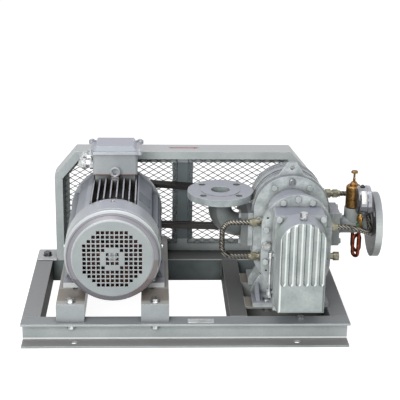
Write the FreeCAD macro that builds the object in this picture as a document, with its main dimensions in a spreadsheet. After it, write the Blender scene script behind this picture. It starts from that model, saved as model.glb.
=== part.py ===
import FreeCAD, Part
import math
import os
import Sketcher
from types import SimpleNamespace

Vector = FreeCAD.Vector
doc = FreeCAD.newDocument("LobeBlowerSet")
sheet = doc.addObject("Spreadsheet::Sheet", "Sizes")
PARTS = []


# The driving dimensions, in millimetres and degrees. The frame has X to the right, Y to the back and
# Z up, with zero on the floor at the centre of the skid's footprint.
SIZES = (
    ("skid_length", 800, "skid, left to right"),
    ("skid_depth", 487, "skid, front to back"),
    ("rail_height", 63, "height of every channel of the skid"),
    ("rail_wall", 5, "thickness of the channels"),
    ("front_rail_flange", 46, "width of the front rail"),
    ("rear_rail_flange", 69, "width of the rear rail"),
    ("side_member_flange", 44, "width of the left and right members"),
    ("cross_member_x", 109.5, "left face of the cross member"),
    ("cross_member_flange", 42, "width of the cross member"),
    ("support_flange", 63.8, "width of the two channels under the blower"),
    ("front_support_y", -143.8, "front edge of the front blower support"),
    ("rear_support_y", 9.5, "front face of the rear blower support"),
    ("anchor_spacing_x", 547, "anchor holes, left to right"),
    ("anchor_inset", 22, "anchor holes from the front and back edges of the skid"),
    ("anchor_radius", 8, "radius of the anchor holes"),
    ("bolt_radius", 6, "shank of the twelve millimetre bolts"),
    ("bolt_gap", 0.5, "room round a bolt's shank"),
    ("bolt_head", 7.5, "height of a twelve millimetre bolt head"),
    ("bolt_across", 18, "width of the bolt heads across the flats"),
    ("nut_height", 10, "height of a twelve millimetre nut"),
    ("screw_radius", 4, "shank of the eight millimetre screws"),
    ("screw_gap", 0.2, "room round a screw's shank"),
    ("screw_head", 5.3, "height of an eight millimetre hex head"),
    ("screw_across", 13, "width of the hex heads across the flats"),
    ("screw_depth", 10, "how deep a screw goes into its plate"),
    ("motor_rail_offset", 7.5, "middle of a motor rail outside the motor's foot bolts"),
    ("motor_rail_width", 68, "width of a motor rail"),
    ("motor_rail_height", 46, "height of a motor rail"),
    ("motor_rail_wall", 4, "sheet of a motor rail"),
    ("motor_rail_setback", 14, "front of the motor rails behind the skid's front edge"),
    ("motor_rail_length", 464, "length of a motor rail"),
    ("rail_bolt_setback", 31.5, "front hold-down bolts behind the skid's front edge"),
    ("rail_bolt_rear_y", 200, "rear hold-down bolts"),
    ("rail_plate_x", 4, "left edge of the bare plate on the front rail"),
    ("rail_plate_y", -236, "front edge of the bare plate on the front rail"),
    ("slot_travel", 50, "how far the motor can slide to tighten the belts"),
    ("motor_x", -178, "motor shaft, left to right"),
    ("shaft_height", 112, "motor shaft above the motor's feet"),
    ("foot_spacing_x", 190, "motor foot holes, left to right"),
    ("foot_spacing_y", 140, "motor foot holes, front to back"),
    ("foot_width", 252, "overall width of the motor's feet"),
    ("foot_length", 180, "length of the motor's feet"),
    ("foot_front_y", -126.5, "front face of the motor's feet"),
    ("foot_thickness", 13, "thickness of the motor's feet"),
    ("frame_front_y", -125, "front end of the motor's barrel"),
    ("frame_rear_y", 136, "rear end of the motor's barrel"),
    ("barrel_radius", 96, "outside of the motor's barrel"),
    ("stator_radius", 84, "bore of the motor's barrel"),
    ("stator_gap", 0.05, "fit of the stator in the barrel"),
    ("fin_radius", 119, "reach of the motor's side fins"),
    ("fin_thickness", 3.2, "thickness of a cooling fin"),
    ("fin_pitch", 15.4, "spacing of the cooling fins"),
    ("fin_top", 122, "top fins above the shaft, at the middle"),
    ("lifting_y", 28, "lifting eye, front to back"),
    ("eye_seat", 125, "seat of the lifting eye above the motor shaft"),
    ("eye_shank", 5, "shank of the lifting eye, as a radius"),
    ("eye_ring", 10.5, "middle of the eye's ring, as a radius"),
    ("eye_thickness", 3.2, "radius of the eye's ring's section"),
    ("terminal_seat", 127, "seat of the terminal box above the shaft"),
    ("shield_radius", 121, "rim of the drive end shield"),
    ("shield_thickness", 14, "thickness of the drive end shield"),
    ("fan_shield_radius", 100, "rim of the fan end shield"),
    ("fan_shield_thickness", 12, "thickness of the fan end shield"),
    ("spigot_depth", 4, "how far a shield's spigot enters the barrel"),
    ("bearing_radius", 31, "outside of the ball bearings"),
    ("bearing_bore", 15, "bore of the ball bearings"),
    ("bearing_width", 16, "width of the ball bearings"),
    ("bearing_fit", 0.03, "room round a bearing and inside it"),
    ("rotor_radius", 48.5, "outside of the motor's rotor"),
    ("air_gap", 0.5, "between the motor's rotor and stator"),
    ("core_length", 120, "length of the motor's iron"),
    ("winding_length", 24, "how far the windings stand out of the iron"),
    ("motor_shaft_radius", 14, "radius of the motor shaft's end"),
    ("shaft_end_y", 223, "back end of both pulley shafts"),
    ("fan_shaft_radius", 12, "seat of the motor's fan"),
    ("fan_front_y", -190, "front of the motor's fan"),
    ("fan_length", 42, "depth of the motor's fan"),
    ("fan_radius", 104, "reach of the motor's fan blades"),
    ("fan_blade", 3, "thickness of a fan blade"),
    ("cowl_radius", 118, "outside of the fan cowl"),
    ("cowl_wall", 2, "sheet of the fan cowl"),
    ("cowl_front_y", -214.5, "flat front of the fan cowl"),
    ("cowl_shoulder_y", -192, "where the cowl's round side begins"),
    ("cowl_step", 5, "the cowl's flat disc stands this far out"),
    ("cowl_rear_y", -113.5, "open end of the fan cowl"),
    ("cowl_screw_radius", 3, "screws that hold the cowl"),
    ("grille_radius", 95.5, "flat front disc of the cowl"),
    ("grille_pitch", 11.2, "spacing of the square holes"),
    ("grille_hole", 8.4, "side of a square hole"),
    ("grille_reach", 6.75, "holes lie within this many spacings of the middle"),
    ("box_half_width", 57, "terminal box, half its width"),
    ("box_front_y", 46, "front of the terminal box"),
    ("box_rear_y", 146, "back of the terminal box"),
    ("box_height", 56, "height of the terminal box"),
    ("box_wall", 4, "wall of the terminal box"),
    ("lid_plate", 7, "rim of the terminal box lid"),
    ("lid_rise", 12, "raised middle of the lid above its rim"),
    ("lid_overhang", 6, "lid rim beyond the box"),
    ("lid_bevel", 10, "width of the lid's sloping border"),
    ("ear_radius", 9, "screw ears of the lid"),
    ("gland_radius", 13.5, "cable gland nuts"),
    ("gland_length", 38, "how far a gland stands out of the box"),
    ("motor_pitch_radius", 62, "pitch radius of the motor pulley"),
    ("blower_pitch_radius", 52, "pitch radius of the blower pulley"),
    ("belt_y", 201.5, "middle of the belts"),
    ("belt_pitch", 19, "between the two belts"),
    ("belt_width", 17, "top width of a belt"),
    ("belt_thickness", 11, "thickness of a belt"),
    ("belt_flank", 19, "slope of the belt's flanks"),
    ("belt_crown", 3.5, "belt's top above the pitch line"),
    ("belt_gap", 0.35, "room between belt and groove"),
    ("pulley_rim", 2.5, "pulley's edge above the pitch line"),
    ("pulley_width", 44, "width of both pulleys"),
    ("pulley_fit", 0.02, "fit of what sits on a shaft"),
    ("guard_depth", 69, "front to back"),
    ("guard_sheet", 2.5, "folded sheet of the guard"),
    ("guard_left_x", -345, "left side of the guard"),
    ("guard_right_x", 350, "right side of the guard"),
    ("guard_top_left_x", -288, "left end of the guard's top"),
    ("guard_top_right_x", 291, "right end of the guard's top"),
    ("guard_height", 310, "guard above the skid"),
    ("guard_left_shoulder", 242, "left slope starts this far above the skid"),
    ("guard_right_shoulder", 240, "right slope starts this far above the skid"),
    ("guard_lip", 21, "front lip of the guard"),
    ("guard_flange", 35, "rear flange of the guard"),
    ("guard_top_flange", 50, "rear flange along the top"),
    ("guard_foot", 26, "feet of the guard"),
    ("mesh_lap", 12, "how far the mesh laps the flange"),
    ("mesh_sheet", 1.6, "thickness of the mesh"),
    ("mesh_rim", 2.5, "uncut edge of the mesh"),
    ("mesh_strand", 4.4, "width of a strand"),
    ("mesh_pitch_x", 54, "long way of the diamonds"),
    ("mesh_pitch_z", 32, "short way of the diamonds"),
    ("strut_left_x", -27, "left edge of the guard's upright"),
    ("strut_width", 56, "width of the guard's upright"),
    ("blower_x", 264, "both rotor shafts, left to right"),
    ("drive_z", 197, "lower rotor shaft, driven by the belts"),
    ("pitch_radius", 48, "rotors and timing gears"),
    ("rotor_gap", 0.15, "shaved off each rotor's flanks"),
    ("tip_gap", 0.4, "between rotor tips and casing"),
    ("side_gap", 0.4, "between rotor ends and end plates"),
    ("plate_front_y", -79, "front face of the front end plate"),
    ("plate_thickness", 13.5, "thickness of the front end plate"),
    ("chamber_length", 62, "length of the blower casing"),
    ("rear_plate_depth", 52, "depth of the rear end plate"),
    ("plate_plug_rise", 79, "breather plug above the upper shaft"),
    ("casing_wall", 13, "wall of the blower casing"),
    ("casing_flange_radius", 98, "front flange of the casing"),
    ("casing_flange_depth", 9, "depth of the casing's flanges"),
    ("end_plate_radius", 93.7, "rim of the end plates"),
    ("end_plate_low_z", 188.5, "lower centre of the end plates' rims"),
    ("rib_radius", 93, "ribs round the casing and rear plate"),
    ("rib_width", 5, "width of a rib"),
    ("rib_pitch", 11.5, "spacing of the ribs"),
    ("port_reach", 106.5, "port faces from the shafts"),
    ("port_height", 86, "port pads, up and down"),
    ("port_width", 85, "port pads and their flanges, front to back"),
    ("port_plate", 12, "thickness of a port pad"),
    ("port_flange", 18, "thickness of the square pipe flanges"),
    ("pipe_bore", 24, "radius of the ports and pipes inside"),
    ("elbow_radius", 29.5, "outside of the inlet elbow"),
    ("pipe_radius", 24.2, "outside of the discharge pipe's boss"),
    ("inlet_x", 88.5, "centre of the inlet flange"),
    ("inlet_top", 337, "face of the inlet flange above the floor"),
    ("elbow_bend", 46, "bend of the inlet elbow"),
    ("flange_radius", 82.5, "round pipe flanges"),
    ("flange_thickness", 18.5, "thickness of the round pipe flanges"),
    ("flange_circle", 62.5, "bolt circle of the round flanges, as a radius"),
    ("flange_hole", 9, "bolt holes of the round flanges"),
    ("flange_face", 49, "raised face of the round flanges"),
    ("raised_face", 1.5, "height of the raised face"),
    ("discharge_bore", 20, "radius of the discharge pipe inside"),
    ("discharge_x", 492, "face of the discharge flange"),
    ("foot_sole", 12, "thickness of the blower's feet"),
    ("foot_half", 95, "blower's feet, half their width"),
    ("foot_bolt_x", 59, "blower foot bolts from the shafts"),
    ("front_foot_y", -146, "front edge of the front foot"),
    ("rear_foot_y", 72, "back edge of the rear foot"),
    ("front_foot_bolt_y", -126, "front foot bolts"),
    ("rear_foot_bolt_y", 60, "rear foot bolts"),
    ("boss_radius", 38, "bearing bosses in the gear case"),
    ("boss_length", 20, "length of the bearing bosses"),
    ("seal_radius", 23, "outside of the shaft seals"),
    ("seal_width", 8, "width of the shaft seals"),
    ("shaft_room", 0.6, "free room round a shaft"),
    ("case_radius", 62, "outside of the gear case"),
    ("case_wall", 7, "wall of the gear case"),
    ("case_front_y", -183.5, "front end of the gear case"),
    ("cover_plate", 14, "thickness of the gear case cover"),
    ("cover_radius", 84.5, "rim of the gear case cover"),
    ("cover_low_z", 205.7, "lower centre of the cover's rim"),
    ("oil_box_depth", 62, "depth of the oil box"),
    ("oil_box_half", 59.5, "oil box, half its width"),
    ("oil_box_low", 111, "bottom of the oil box"),
    ("oil_box_high", 349, "top of the oil box"),
    ("oil_box_wall", 8, "wall of the oil box"),
    ("fin_cover_flange", 10, "flange of the fluted cover"),
    ("fin_cover_depth", 62, "how far the fluted cover stands out"),
    ("fin_cover_base", 58, "fluted cover at its flange, half its width"),
    ("fin_cover_face", 54, "fluted cover at its face, half its width"),
    ("fin_cover_low", 131, "bottom of the fluted cover"),
    ("fin_cover_rise", 8, "crown of the fluted cover above its flange"),
    ("fin_cover_edge", 7, "rounding of the fluted cover"),
    ("plug_setback", 34, "filler plug in front of the cover's flange"),
    ("flute_pitch", 17.8, "spacing of the flutes"),
    ("flute_width", 13, "width of a flute"),
    ("flute_depth", 4.5, "depth of a flute"),
    ("flute_low", 199.5, "lower ends of the flutes"),
    ("level_pipe_low", 150, "lower fitting of the oil level pipe"),
    ("level_pipe_high", 245, "upper fitting of the oil level pipe"),
    ("sight_x", -71.6, "oil sight glass from the shafts"),
    ("sight_z", 248, "height of the oil sight glass"),
    ("gear_module", 4, "module of the timing gears"),
    ("gear_teeth", 24, "teeth of a timing gear"),
    ("gear_width", 26, "face width of the timing gears"),
    ("gear_rear_y", -108, "back faces of the timing gears"),
    ("backlash", 0.3, "play between the gear teeth"),
    ("rotor_shaft_radius", 15, "rotor shafts"),
    ("rear_cover_radius", 44, "rear bearing cover"),
    ("rear_cover_depth", 9, "rear bearing cover"),
    ("valve_x", 426, "relief valve on the discharge pipe"),
    ("valve_radius", 19, "brass body of the relief valve"),
    ("valve_seat_z", 291, "lower end of the brass body"),
    ("valve_height", 58, "height of the brass body"),
    ("valve_boss_radius", 21, "boss under the relief valve"),
    ("valve_stem_radius", 3.5, "stem of the relief valve"),
    ("valve_stem_top", 387, "top of the stem's knob"),
    ("valve_knob_radius", 8.5, "knob of the stem"),
    ("gauge_x", 424, "back of the pressure gauge"),
    ("gauge_y", -93, "centre of the pressure gauge"),
    ("gauge_z", 329, "centre of the pressure gauge"),
    ("gauge_radius", 37, "case of the pressure gauge"),
    ("gauge_depth", 32, "depth of the pressure gauge"),
    ("gauge_stem_x", 435, "stem of the gauge"),
    ("cock_z", 262, "centre of the gauge cock"),
    ("siphon_radius", 4.5, "copper tube of the siphon"),
    ("siphon_low", 178, "lowest point of the siphon's bends"),
    ("siphon_high", 232, "highest point of the siphon's bends"),
    ("hose_radius", 6.5, "braided hoses"),
    ("hose_bend", 26, "bends of the left hose"),
    ("hose_y", -133.5, "ports of the hoses on the gear case"),
    ("hose_high_left", 285, "upper left hose port"),
    ("hose_high_right", 273, "upper right hose port"),
    ("hose_low", 196, "lower hose ports"),
    ("hose_loop_x", 89, "left reach of the left hose"),
    ("hose_rear_y", 26, "hose port on the rear end plate"),
    ("hose_rear_z", 306, "height of the port on the rear end plate"),
    ("port_boss", 14, "bosses of the hose ports"),
    ("nut_length", 13, "hose fittings' nuts"),
    ("nut_across", 22, "hose fittings' nuts across the flats"),
)


class Size:
    """A dimension that knows its present value and its formula over the sheet."""

    def __init__(self, formula, value):
        self.formula = formula
        self.value = value

    def __add__(self, other):
        return joined(self, "+", other)

    def __radd__(self, other):
        return joined(other, "+", self)

    def __sub__(self, other):
        return joined(self, "-", other)

    def __rsub__(self, other):
        return joined(other, "-", self)

    def __mul__(self, other):
        return joined(self, "*", other)

    def __rmul__(self, other):
        return joined(other, "*", self)

    def __truediv__(self, other):
        return joined(self, "/", other)

    def __rtruediv__(self, other):
        return joined(other, "/", self)

    def __neg__(self):
        return joined(0, "-", self)

    def __float__(self):
        return float(self.value)


def as_size(number):
    return number if isinstance(number, Size) else Size(repr(float(number)), float(number))


def joined(left, sign, right):
    """The sum, difference, product or quotient of two sizes, with its formula."""
    left = as_size(left)
    right = as_size(right)
    results = {
        "+": left.value + right.value,
        "-": left.value - right.value,
        "*": left.value * right.value,
        "/": left.value / right.value if right.value else 0.0,
    }
    return Size("(%s %s %s)" % (left.formula, sign, right.formula), results[sign])


def square_root(size):
    return Size("sqrt(%s)" % size.formula, math.sqrt(size.value))


def tangent(degrees):
    return Size("tan(%s)" % degrees.formula, math.tan(math.radians(degrees.value)))


for row, (alias, number, meaning) in enumerate(SIZES, start=1):
    sheet.set("A%d" % row, meaning)
    sheet.set("B%d" % row, str(number))
    sheet.setAlias("B%d" % row, alias)
doc.recompute()
d = SimpleNamespace(**{alias: Size("Sizes." + alias, float(sheet.get(alias))) for alias, _, _ in SIZES})


# Places that several pieces share, worked out from the sizes above.
half_length = d.skid_length / 2
half_depth = d.skid_depth / 2
front_web_y = d.front_rail_flange - half_depth
rear_web_y = half_depth - d.rear_rail_flange
support_left_x = d.cross_member_x + d.cross_member_flange
support_right_x = half_length - d.side_member_flange
anchor_y = half_depth - d.anchor_inset
rail_front_y = d.motor_rail_setback - half_depth
rail_top = d.rail_height + d.motor_rail_height
rail_bolt_front_y = d.rail_bolt_setback - half_depth
motor_rail_reach = d.foot_spacing_x / 2 + d.motor_rail_offset
motor_z = rail_top + d.shaft_height
foot_middle_y = d.foot_front_y + d.foot_length / 2
driven_z = d.drive_z + 2 * d.pitch_radius
port_z = d.drive_z + d.pitch_radius
casing_front_y = d.plate_front_y + d.plate_thickness
casing_rear_y = casing_front_y + d.chamber_length
port_y = casing_front_y + d.chamber_length / 2
rear_plate_end_y = casing_rear_y + d.rear_plate_depth
tip_radius = d.pitch_radius * 4 / 3
chamber_radius = tip_radius + d.tip_gap
cover_front_y = d.case_front_y - d.cover_plate
oil_box_front_y = cover_front_y - d.oil_box_depth
fin_flange_y = oil_box_front_y - d.fin_cover_flange
fin_face_y = fin_flange_y - d.fin_cover_depth
fin_cover_spring = d.oil_box_high + d.fin_cover_rise - d.fin_cover_base
guard_front_y = half_depth - d.guard_depth
guard_top = d.rail_height + d.guard_height
bolt_hole = d.bolt_radius + d.bolt_gap
screw_hole = d.screw_radius + d.screw_gap
front_bearing_y = d.plate_front_y - d.boss_length + 1
rear_bearing_y = rear_plate_end_y - d.bearing_width - 2
fan_bearing_y = d.frame_front_y - d.fan_shield_thickness + 1
drive_bearing_y = d.frame_rear_y + 2


def bind(item, name, size):
    item.setExpression(name, as_size(size).formula)


def point(x, y, z):
    return Vector(float(x), float(y), float(z))


# Loops that a sketch is drawn from. Each returns a function that draws it, fully constrained.
def pin(sketch, geometry, place, x, y):
    """Holds a point of a sketch at its distances from the sketch's origin."""
    for kind, size in (("DistanceX", as_size(x)), ("DistanceY", as_size(y))):
        index = sketch.addConstraint(Sketcher.Constraint(kind, -1, 1, geometry, place, size.value))
        sketch.setExpression("Constraints[%d]" % index, size.formula)


def polygon(*corners):
    def draw(sketch):
        first = sketch.GeometryCount
        count = len(corners)
        places = [point(x, y, 0) for x, y in corners]
        for index in range(count):
            sketch.addGeometry(Part.LineSegment(places[index], places[(index + 1) % count]), False)
        for index in range(count):
            after = first + (index + 1) % count
            sketch.addConstraint(Sketcher.Constraint("Coincident", first + index, 2, after, 1))
        for index, (x, y) in enumerate(corners):
            pin(sketch, first + index, 1, x, y)
    return draw


def rectangle(left, low, right, high):
    return polygon((left, low), (right, low), (right, high), (left, high))


def circle(x, y, radius):
    def draw(sketch):
        radius_size = as_size(radius)
        shape = Part.Circle(point(x, y, 0), Vector(0, 0, 1), radius_size.value)
        index = sketch.addGeometry(shape, False)
        pin(sketch, index, 3, x, y)
        held = sketch.addConstraint(Sketcher.Constraint("Radius", index, radius_size.value))
        sketch.setExpression("Constraints[%d]" % held, radius_size.formula)
    return draw


def half_round(sketch, x, y, radius, upper):
    """A half circle, open downwards when it is the upper one of a pair."""
    start, end = (0, math.pi) if upper else (math.pi, 2 * math.pi)
    full = Part.Circle(point(x, y, 0), Vector(0, 0, 1), float(radius))
    index = sketch.addGeometry(Part.ArcOfCircle(full, start, end), False)
    pin(sketch, index, 3, x, y)
    held = sketch.addConstraint(Sketcher.Constraint("Radius", index, float(radius)))
    sketch.setExpression("Constraints[%d]" % held, as_size(radius).formula)
    sketch.addConstraint(Sketcher.Constraint("Horizontal", index, 1, index, 3))
    sketch.addConstraint(Sketcher.Constraint("Horizontal", index, 2, index, 3))
    return index


def oval(x, low, high, radius):
    """Two half circles, one over the other, joined by straight sides."""
    def draw(sketch):
        top = half_round(sketch, x, high, radius, True)
        bottom = half_round(sketch, x, low, radius, False)
        middle, reach = float(x), float(radius)
        left = Part.LineSegment(point(middle - reach, high, 0), point(middle - reach, low, 0))
        right = Part.LineSegment(point(middle + reach, low, 0), point(middle + reach, high, 0))
        left = sketch.addGeometry(left, False)
        right = sketch.addGeometry(right, False)
        for one, one_end, other, other_end in (
                (top, 2, left, 1), (left, 2, bottom, 1), (bottom, 2, right, 1), (right, 2, top, 1)):
            sketch.addConstraint(Sketcher.Constraint("Coincident", one, one_end, other, other_end))
    return draw


def arch(x, low, spring, radius):
    """A half circle over straight sides with a flat bottom."""
    def draw(sketch):
        top = half_round(sketch, x, spring, radius, True)
        middle, reach = float(x), float(radius)
        corners = [point(middle - reach, spring, 0), point(middle - reach, low, 0),
                   point(middle + reach, low, 0), point(middle + reach, spring, 0)]
        sides = [sketch.addGeometry(Part.LineSegment(corners[i], corners[i + 1]), False) for i in range(3)]
        ends = ((top, 2, sides[0], 1), (sides[0], 2, sides[1], 1), (sides[1], 2, sides[2], 1),
                (sides[2], 2, top, 1))
        for one, one_end, other, other_end in ends:
            sketch.addConstraint(Sketcher.Constraint("Coincident", one, one_end, other, other_end))
        pin(sketch, sides[0], 2, x - radius, low)
        pin(sketch, sides[1], 2, x + radius, low)
    return draw


# Bodies and the features that they are built from.
NORMAL_ALONG_AXIS = {"XY_Plane": True, "XZ_Plane": False, "YZ_Plane": True}


def new_body(label, x=0, y=0, z=0):
    """A body that is drawn about its own origin and stands at a place in the frame."""
    body = doc.addObject("PartDesign::Body", label)
    body.Label = label
    for axis, size in (("x", x), ("y", y), ("z", z)):
        bind(body, "Placement.Base." + axis, size)
    PARTS.append(body)
    return body


def new_sketch(body, plane, at, loops):
    sketch = body.newObject("Sketcher::SketchObject", body.Label + "_sketch")
    support = [item for item in body.Origin.OriginFeatures if item.Role == plane][0]
    sketch.AttachmentSupport = [(support, "")]
    sketch.MapMode = "FlatFace"
    bind(sketch, "AttachmentOffset.Base.z", at if NORMAL_ALONG_AXIS[plane] else -as_size(at))
    for loop in loops:
        loop(sketch)
    return sketch


def pad(body, plane, at, length, *loops):
    """Adds the loops' area, from a place on the plane's axis towards its plus side."""
    feature = body.newObject("PartDesign::Pad", body.Label + "_pad")
    feature.Profile = new_sketch(body, plane, at, loops)
    bind(feature, "Length", length)
    feature.Reversed = not NORMAL_ALONG_AXIS[plane]
    return feature


def pocket(body, plane, at, length, *loops):
    """Cuts the loops' area away, from a place on the plane's axis towards its plus side."""
    doc.recompute()
    before = body.Shape.Volume
    feature = body.newObject("PartDesign::Pocket", body.Label + "_pocket")
    feature.Profile = new_sketch(body, plane, at, loops)
    bind(feature, "Length", length)
    feature.Reversed = NORMAL_ALONG_AXIS[plane]
    doc.recompute()
    if not body.Shape.Volume < before - 0.01:
        raise RuntimeError("a pocket of %s cuts nothing" % body.Label)
    return feature


def turn(body, *loops, plane="YZ_Plane", axis="H_Axis"):
    """Turns the loops once round the sketch's own axis."""
    sketch = new_sketch(body, plane, 0, loops)
    feature = body.newObject("PartDesign::Revolution", body.Label + "_turned")
    feature.Profile = sketch
    feature.ReferenceAxis = (sketch, [axis])
    feature.Angle = 360
    return feature


def groove(body, *loops, plane="YZ_Plane", axis="H_Axis"):
    doc.recompute()
    before = body.Shape.Volume
    sketch = new_sketch(body, plane, 0, loops)
    feature = body.newObject("PartDesign::Groove", body.Label + "_groove")
    feature.Profile = sketch
    feature.ReferenceAxis = (sketch, [axis])
    feature.Angle = 360
    doc.recompute()
    if not body.Shape.Volume < before - 0.01:
        raise RuntimeError("a groove of %s cuts nothing" % body.Label)
    return feature


def loft(body, plane, first_at, first_loop, second_at, second_loop):
    first = new_sketch(body, plane, first_at, [first_loop])
    second = new_sketch(body, plane, second_at, [second_loop])
    feature = body.newObject("PartDesign::AdditiveLoft", body.Label + "_loft")
    feature.Profile = first
    feature.Sections = [second]
    feature.Ruled = True
    return feature


def repeat_round(body, feature, axis, count):
    """Repeats a feature evenly round one of the body's own axes."""
    pattern = body.newObject("PartDesign::PolarPattern", body.Label + "_ring")
    pattern.Originals = [feature]
    line = [item for item in body.Origin.OriginFeatures if item.Role == axis][0]
    pattern.Axis = (line, [""])
    pattern.Angle = 360
    pattern.Occurrences = count
    body.Tip = pattern
    return pattern


def rounded(body, radius, wanted):
    """Rounds the edges of the body as it stands that pass a test."""
    doc.recompute()
    tip = body.Tip
    names = ["Edge%d" % (i + 1) for i, edge in enumerate(tip.Shape.Edges) if wanted(edge)]
    if not names:
        raise RuntimeError("no edge to round on %s" % body.Label)
    feature = body.newObject("PartDesign::Fillet", body.Label + "_fillet")
    feature.Base = (tip, names)
    bind(feature, "Radius", radius)
    return feature


def along(edge, direction):
    """True for a straight edge that runs along a direction."""
    if not isinstance(edge.Curve, Part.Line):
        return False
    return abs(edge.Curve.Direction.dot(direction)) > 0.999


def flat_at(edge, axis, value):
    """True for an edge that lies in one plane square to an axis."""
    box = edge.BoundBox
    low, high = (box.YMin, box.YMax) if axis == "y" else (box.ZMin, box.ZMax)
    return abs(low - value) < 0.01 and abs(high - value) < 0.01


def shaped(label, shape):
    """A sub-part whose shape is worked out below from the same sizes."""
    item = doc.addObject("Part::Feature", label)
    item.Label = label
    item.Shape = shape
    PARTS.append(item)
    return item


# Plain forms for the shapes that are worked out directly.
def rod(start, direction, radius, length):
    return Part.makeCylinder(float(radius), float(length), start, direction)


def tube(start, direction, outer, inner, length):
    return rod(start, direction, outer, length).cut(rod(start, direction, inner, length))


def block(left, front, low, right, back, high):
    corner = point(left, front, low)
    return Part.makeBox(float(right) - corner.x, float(back) - corner.y, float(high) - corner.z, corner)


def hex_prism(start, direction, across, length):
    """A hexagonal prism, such as a bolt head or a nut."""
    side = Vector(0, 0, 1) if abs(direction.z) < 0.9 else Vector(1, 0, 0)
    other = direction.cross(side)
    reach = float(across) / math.sqrt(3)
    corners = []
    for index in range(7):
        angle = math.radians(60 * index)
        corners.append(start + side * (reach * math.cos(angle)) + other * (reach * math.sin(angle)))
    return Part.Face(Part.makePolygon(corners)).extrude(direction * float(length))


def through_bolt(start, direction, grip):
    """A bolt with its washer and nut, clamping what lies within its grip."""
    head = hex_prism(start - direction * float(d.bolt_head + 2), direction, d.bolt_across, d.bolt_head)
    washer = rod(start - direction * 2, direction, d.bolt_across / 2 + 3, 2)
    shank = rod(start - direction * 2, direction, d.bolt_radius, grip + d.nut_height + 6)
    nut = hex_prism(start + direction * float(grip), direction, d.bolt_across, d.nut_height)
    return head.fuse([washer, shank, nut])


def screw(seat, direction):
    """A hex-headed screw; the seat is where its head meets the plate."""
    head = hex_prism(seat - direction * float(d.screw_head), direction, d.screw_across, d.screw_head)
    return head.fuse(rod(seat, direction, d.screw_radius, d.screw_depth))


def widest_bends(places):
    """The largest bend at each corner of a route that its two runs leave room for."""
    bends = []
    for before, corner, after in zip(places[:-2], places[1:-1], places[2:]):
        turn_angle = (corner - before).getAngle(after - corner)
        shorter = min((corner - before).Length, (after - corner).Length)
        bends.append(0.45 * shorter / math.tan(turn_angle / 2))
    return bends


def bent_tube(places, bends, radius):
    """A tube of straight runs joined by tangent arcs, with its length and bend radii printed."""
    edges = []
    start = places[0]
    for index in range(1, len(places) - 1):
        corner = places[index]
        into = (corner - places[index - 1]).normalize()
        out = (places[index + 1] - corner).normalize()
        turn_angle = into.getAngle(out)
        bend = float(bends[index - 1])
        back = bend * math.tan(turn_angle / 2)
        first = corner - into * back
        last = corner + out * back
        inward = (out - into).normalize()
        centre = corner + inward * (bend / math.cos(turn_angle / 2))
        middle = centre - inward * bend
        if first.distanceToPoint(start) > 0.01:
            edges.append(Part.LineSegment(start, first).toShape())
        edges.append(Part.Arc(first, middle, last).toShape())
        start = last
    if places[-1].distanceToPoint(start) > 0.01:
        edges.append(Part.LineSegment(start, places[-1]).toShape())
    path = Part.Wire(edges)
    direction = (places[1] - places[0]).normalize()
    ring = Part.Wire(Part.makeCircle(float(radius), places[0], direction))
    shape = path.makePipeShell([ring], True, False)
    expected = math.pi * float(radius) ** 2 * path.Length
    if abs(shape.Volume / expected - 1) > 0.01:
        raise RuntimeError("a bent tube lost its section")
    print("tube length %.0f mm, bends %s mm" % (path.Length, [round(float(bend)) for bend in bends]))
    return shape


X, Y, Z = Vector(1, 0, 0), Vector(0, 1, 0), Vector(0, 0, 1)


# The skid: channels welded edge to edge.
def channel(label, plane, start, length, web, tip, low=0):
    """A pressed channel whose web stands at one side and whose flanges reach to its tip."""
    inside = web + d.rail_wall if float(tip) > float(web) else web - d.rail_wall
    high = low + d.rail_height
    body = new_body(label)
    outline = polygon(
        (web, low), (tip, low), (tip, low + d.rail_wall), (inside, low + d.rail_wall),
        (inside, high - d.rail_wall), (tip, high - d.rail_wall), (tip, high), (web, high))
    pad(body, plane, start, length, outline)
    return body


def anchor_rail(label, web, tip, hole_y, bolt_y):
    body = channel(label, "YZ_Plane", -half_length, d.skid_length, web, tip)
    half = d.anchor_spacing_x / 2
    pocket(body, "XY_Plane", 0, d.rail_wall,
           circle(-half, hole_y, d.anchor_radius), circle(half, hole_y, d.anchor_radius))
    holes = [circle(d.motor_x + side * motor_rail_reach, bolt_y, bolt_hole) for side in (-1, 1)]
    pocket(body, "XY_Plane", d.rail_height - d.rail_wall, d.rail_wall, *holes)
    return body


def skid():
    anchor_rail("skid_front_rail", front_web_y, -half_depth, -anchor_y, rail_bolt_front_y)
    rear = anchor_rail("skid_rear_rail", rear_web_y, half_depth, anchor_y, d.rail_bolt_rear_y)
    guard_bolt_holes = [circle(x, guard_front_y + d.guard_depth / 2, screw_hole) for x in guard_bolt_x]
    pocket(rear, "XY_Plane", d.rail_height - d.rail_wall, d.rail_wall, *guard_bolt_holes)
    depth = rear_web_y - front_web_y
    channel("skid_left_member", "XZ_Plane", front_web_y, depth, -support_right_x, -half_length)
    channel("skid_right_member", "XZ_Plane", front_web_y, depth, support_right_x, half_length)
    channel("skid_cross_member", "XZ_Plane", front_web_y, depth, d.cross_member_x, support_left_x)
    span = support_right_x - support_left_x
    front_tip = d.front_support_y
    front = channel("blower_front_support", "YZ_Plane", support_left_x, span,
                    front_tip + d.support_flange, front_tip)
    rear = channel("blower_rear_support", "YZ_Plane", support_left_x, span,
                   d.rear_support_y, d.rear_support_y + d.support_flange)
    for body, bolt_y in ((front, d.front_foot_bolt_y), (rear, d.rear_foot_bolt_y)):
        holes = [circle(d.blower_x + side * d.foot_bolt_x, bolt_y, bolt_hole) for side in (-1, 1)]
        pocket(body, "XY_Plane", d.rail_height - d.rail_wall, d.rail_wall, *holes)


guard_bolt_x = (d.guard_left_x + d.guard_foot / 2 + 2, d.guard_right_x - d.guard_foot / 2 - 2)


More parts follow.
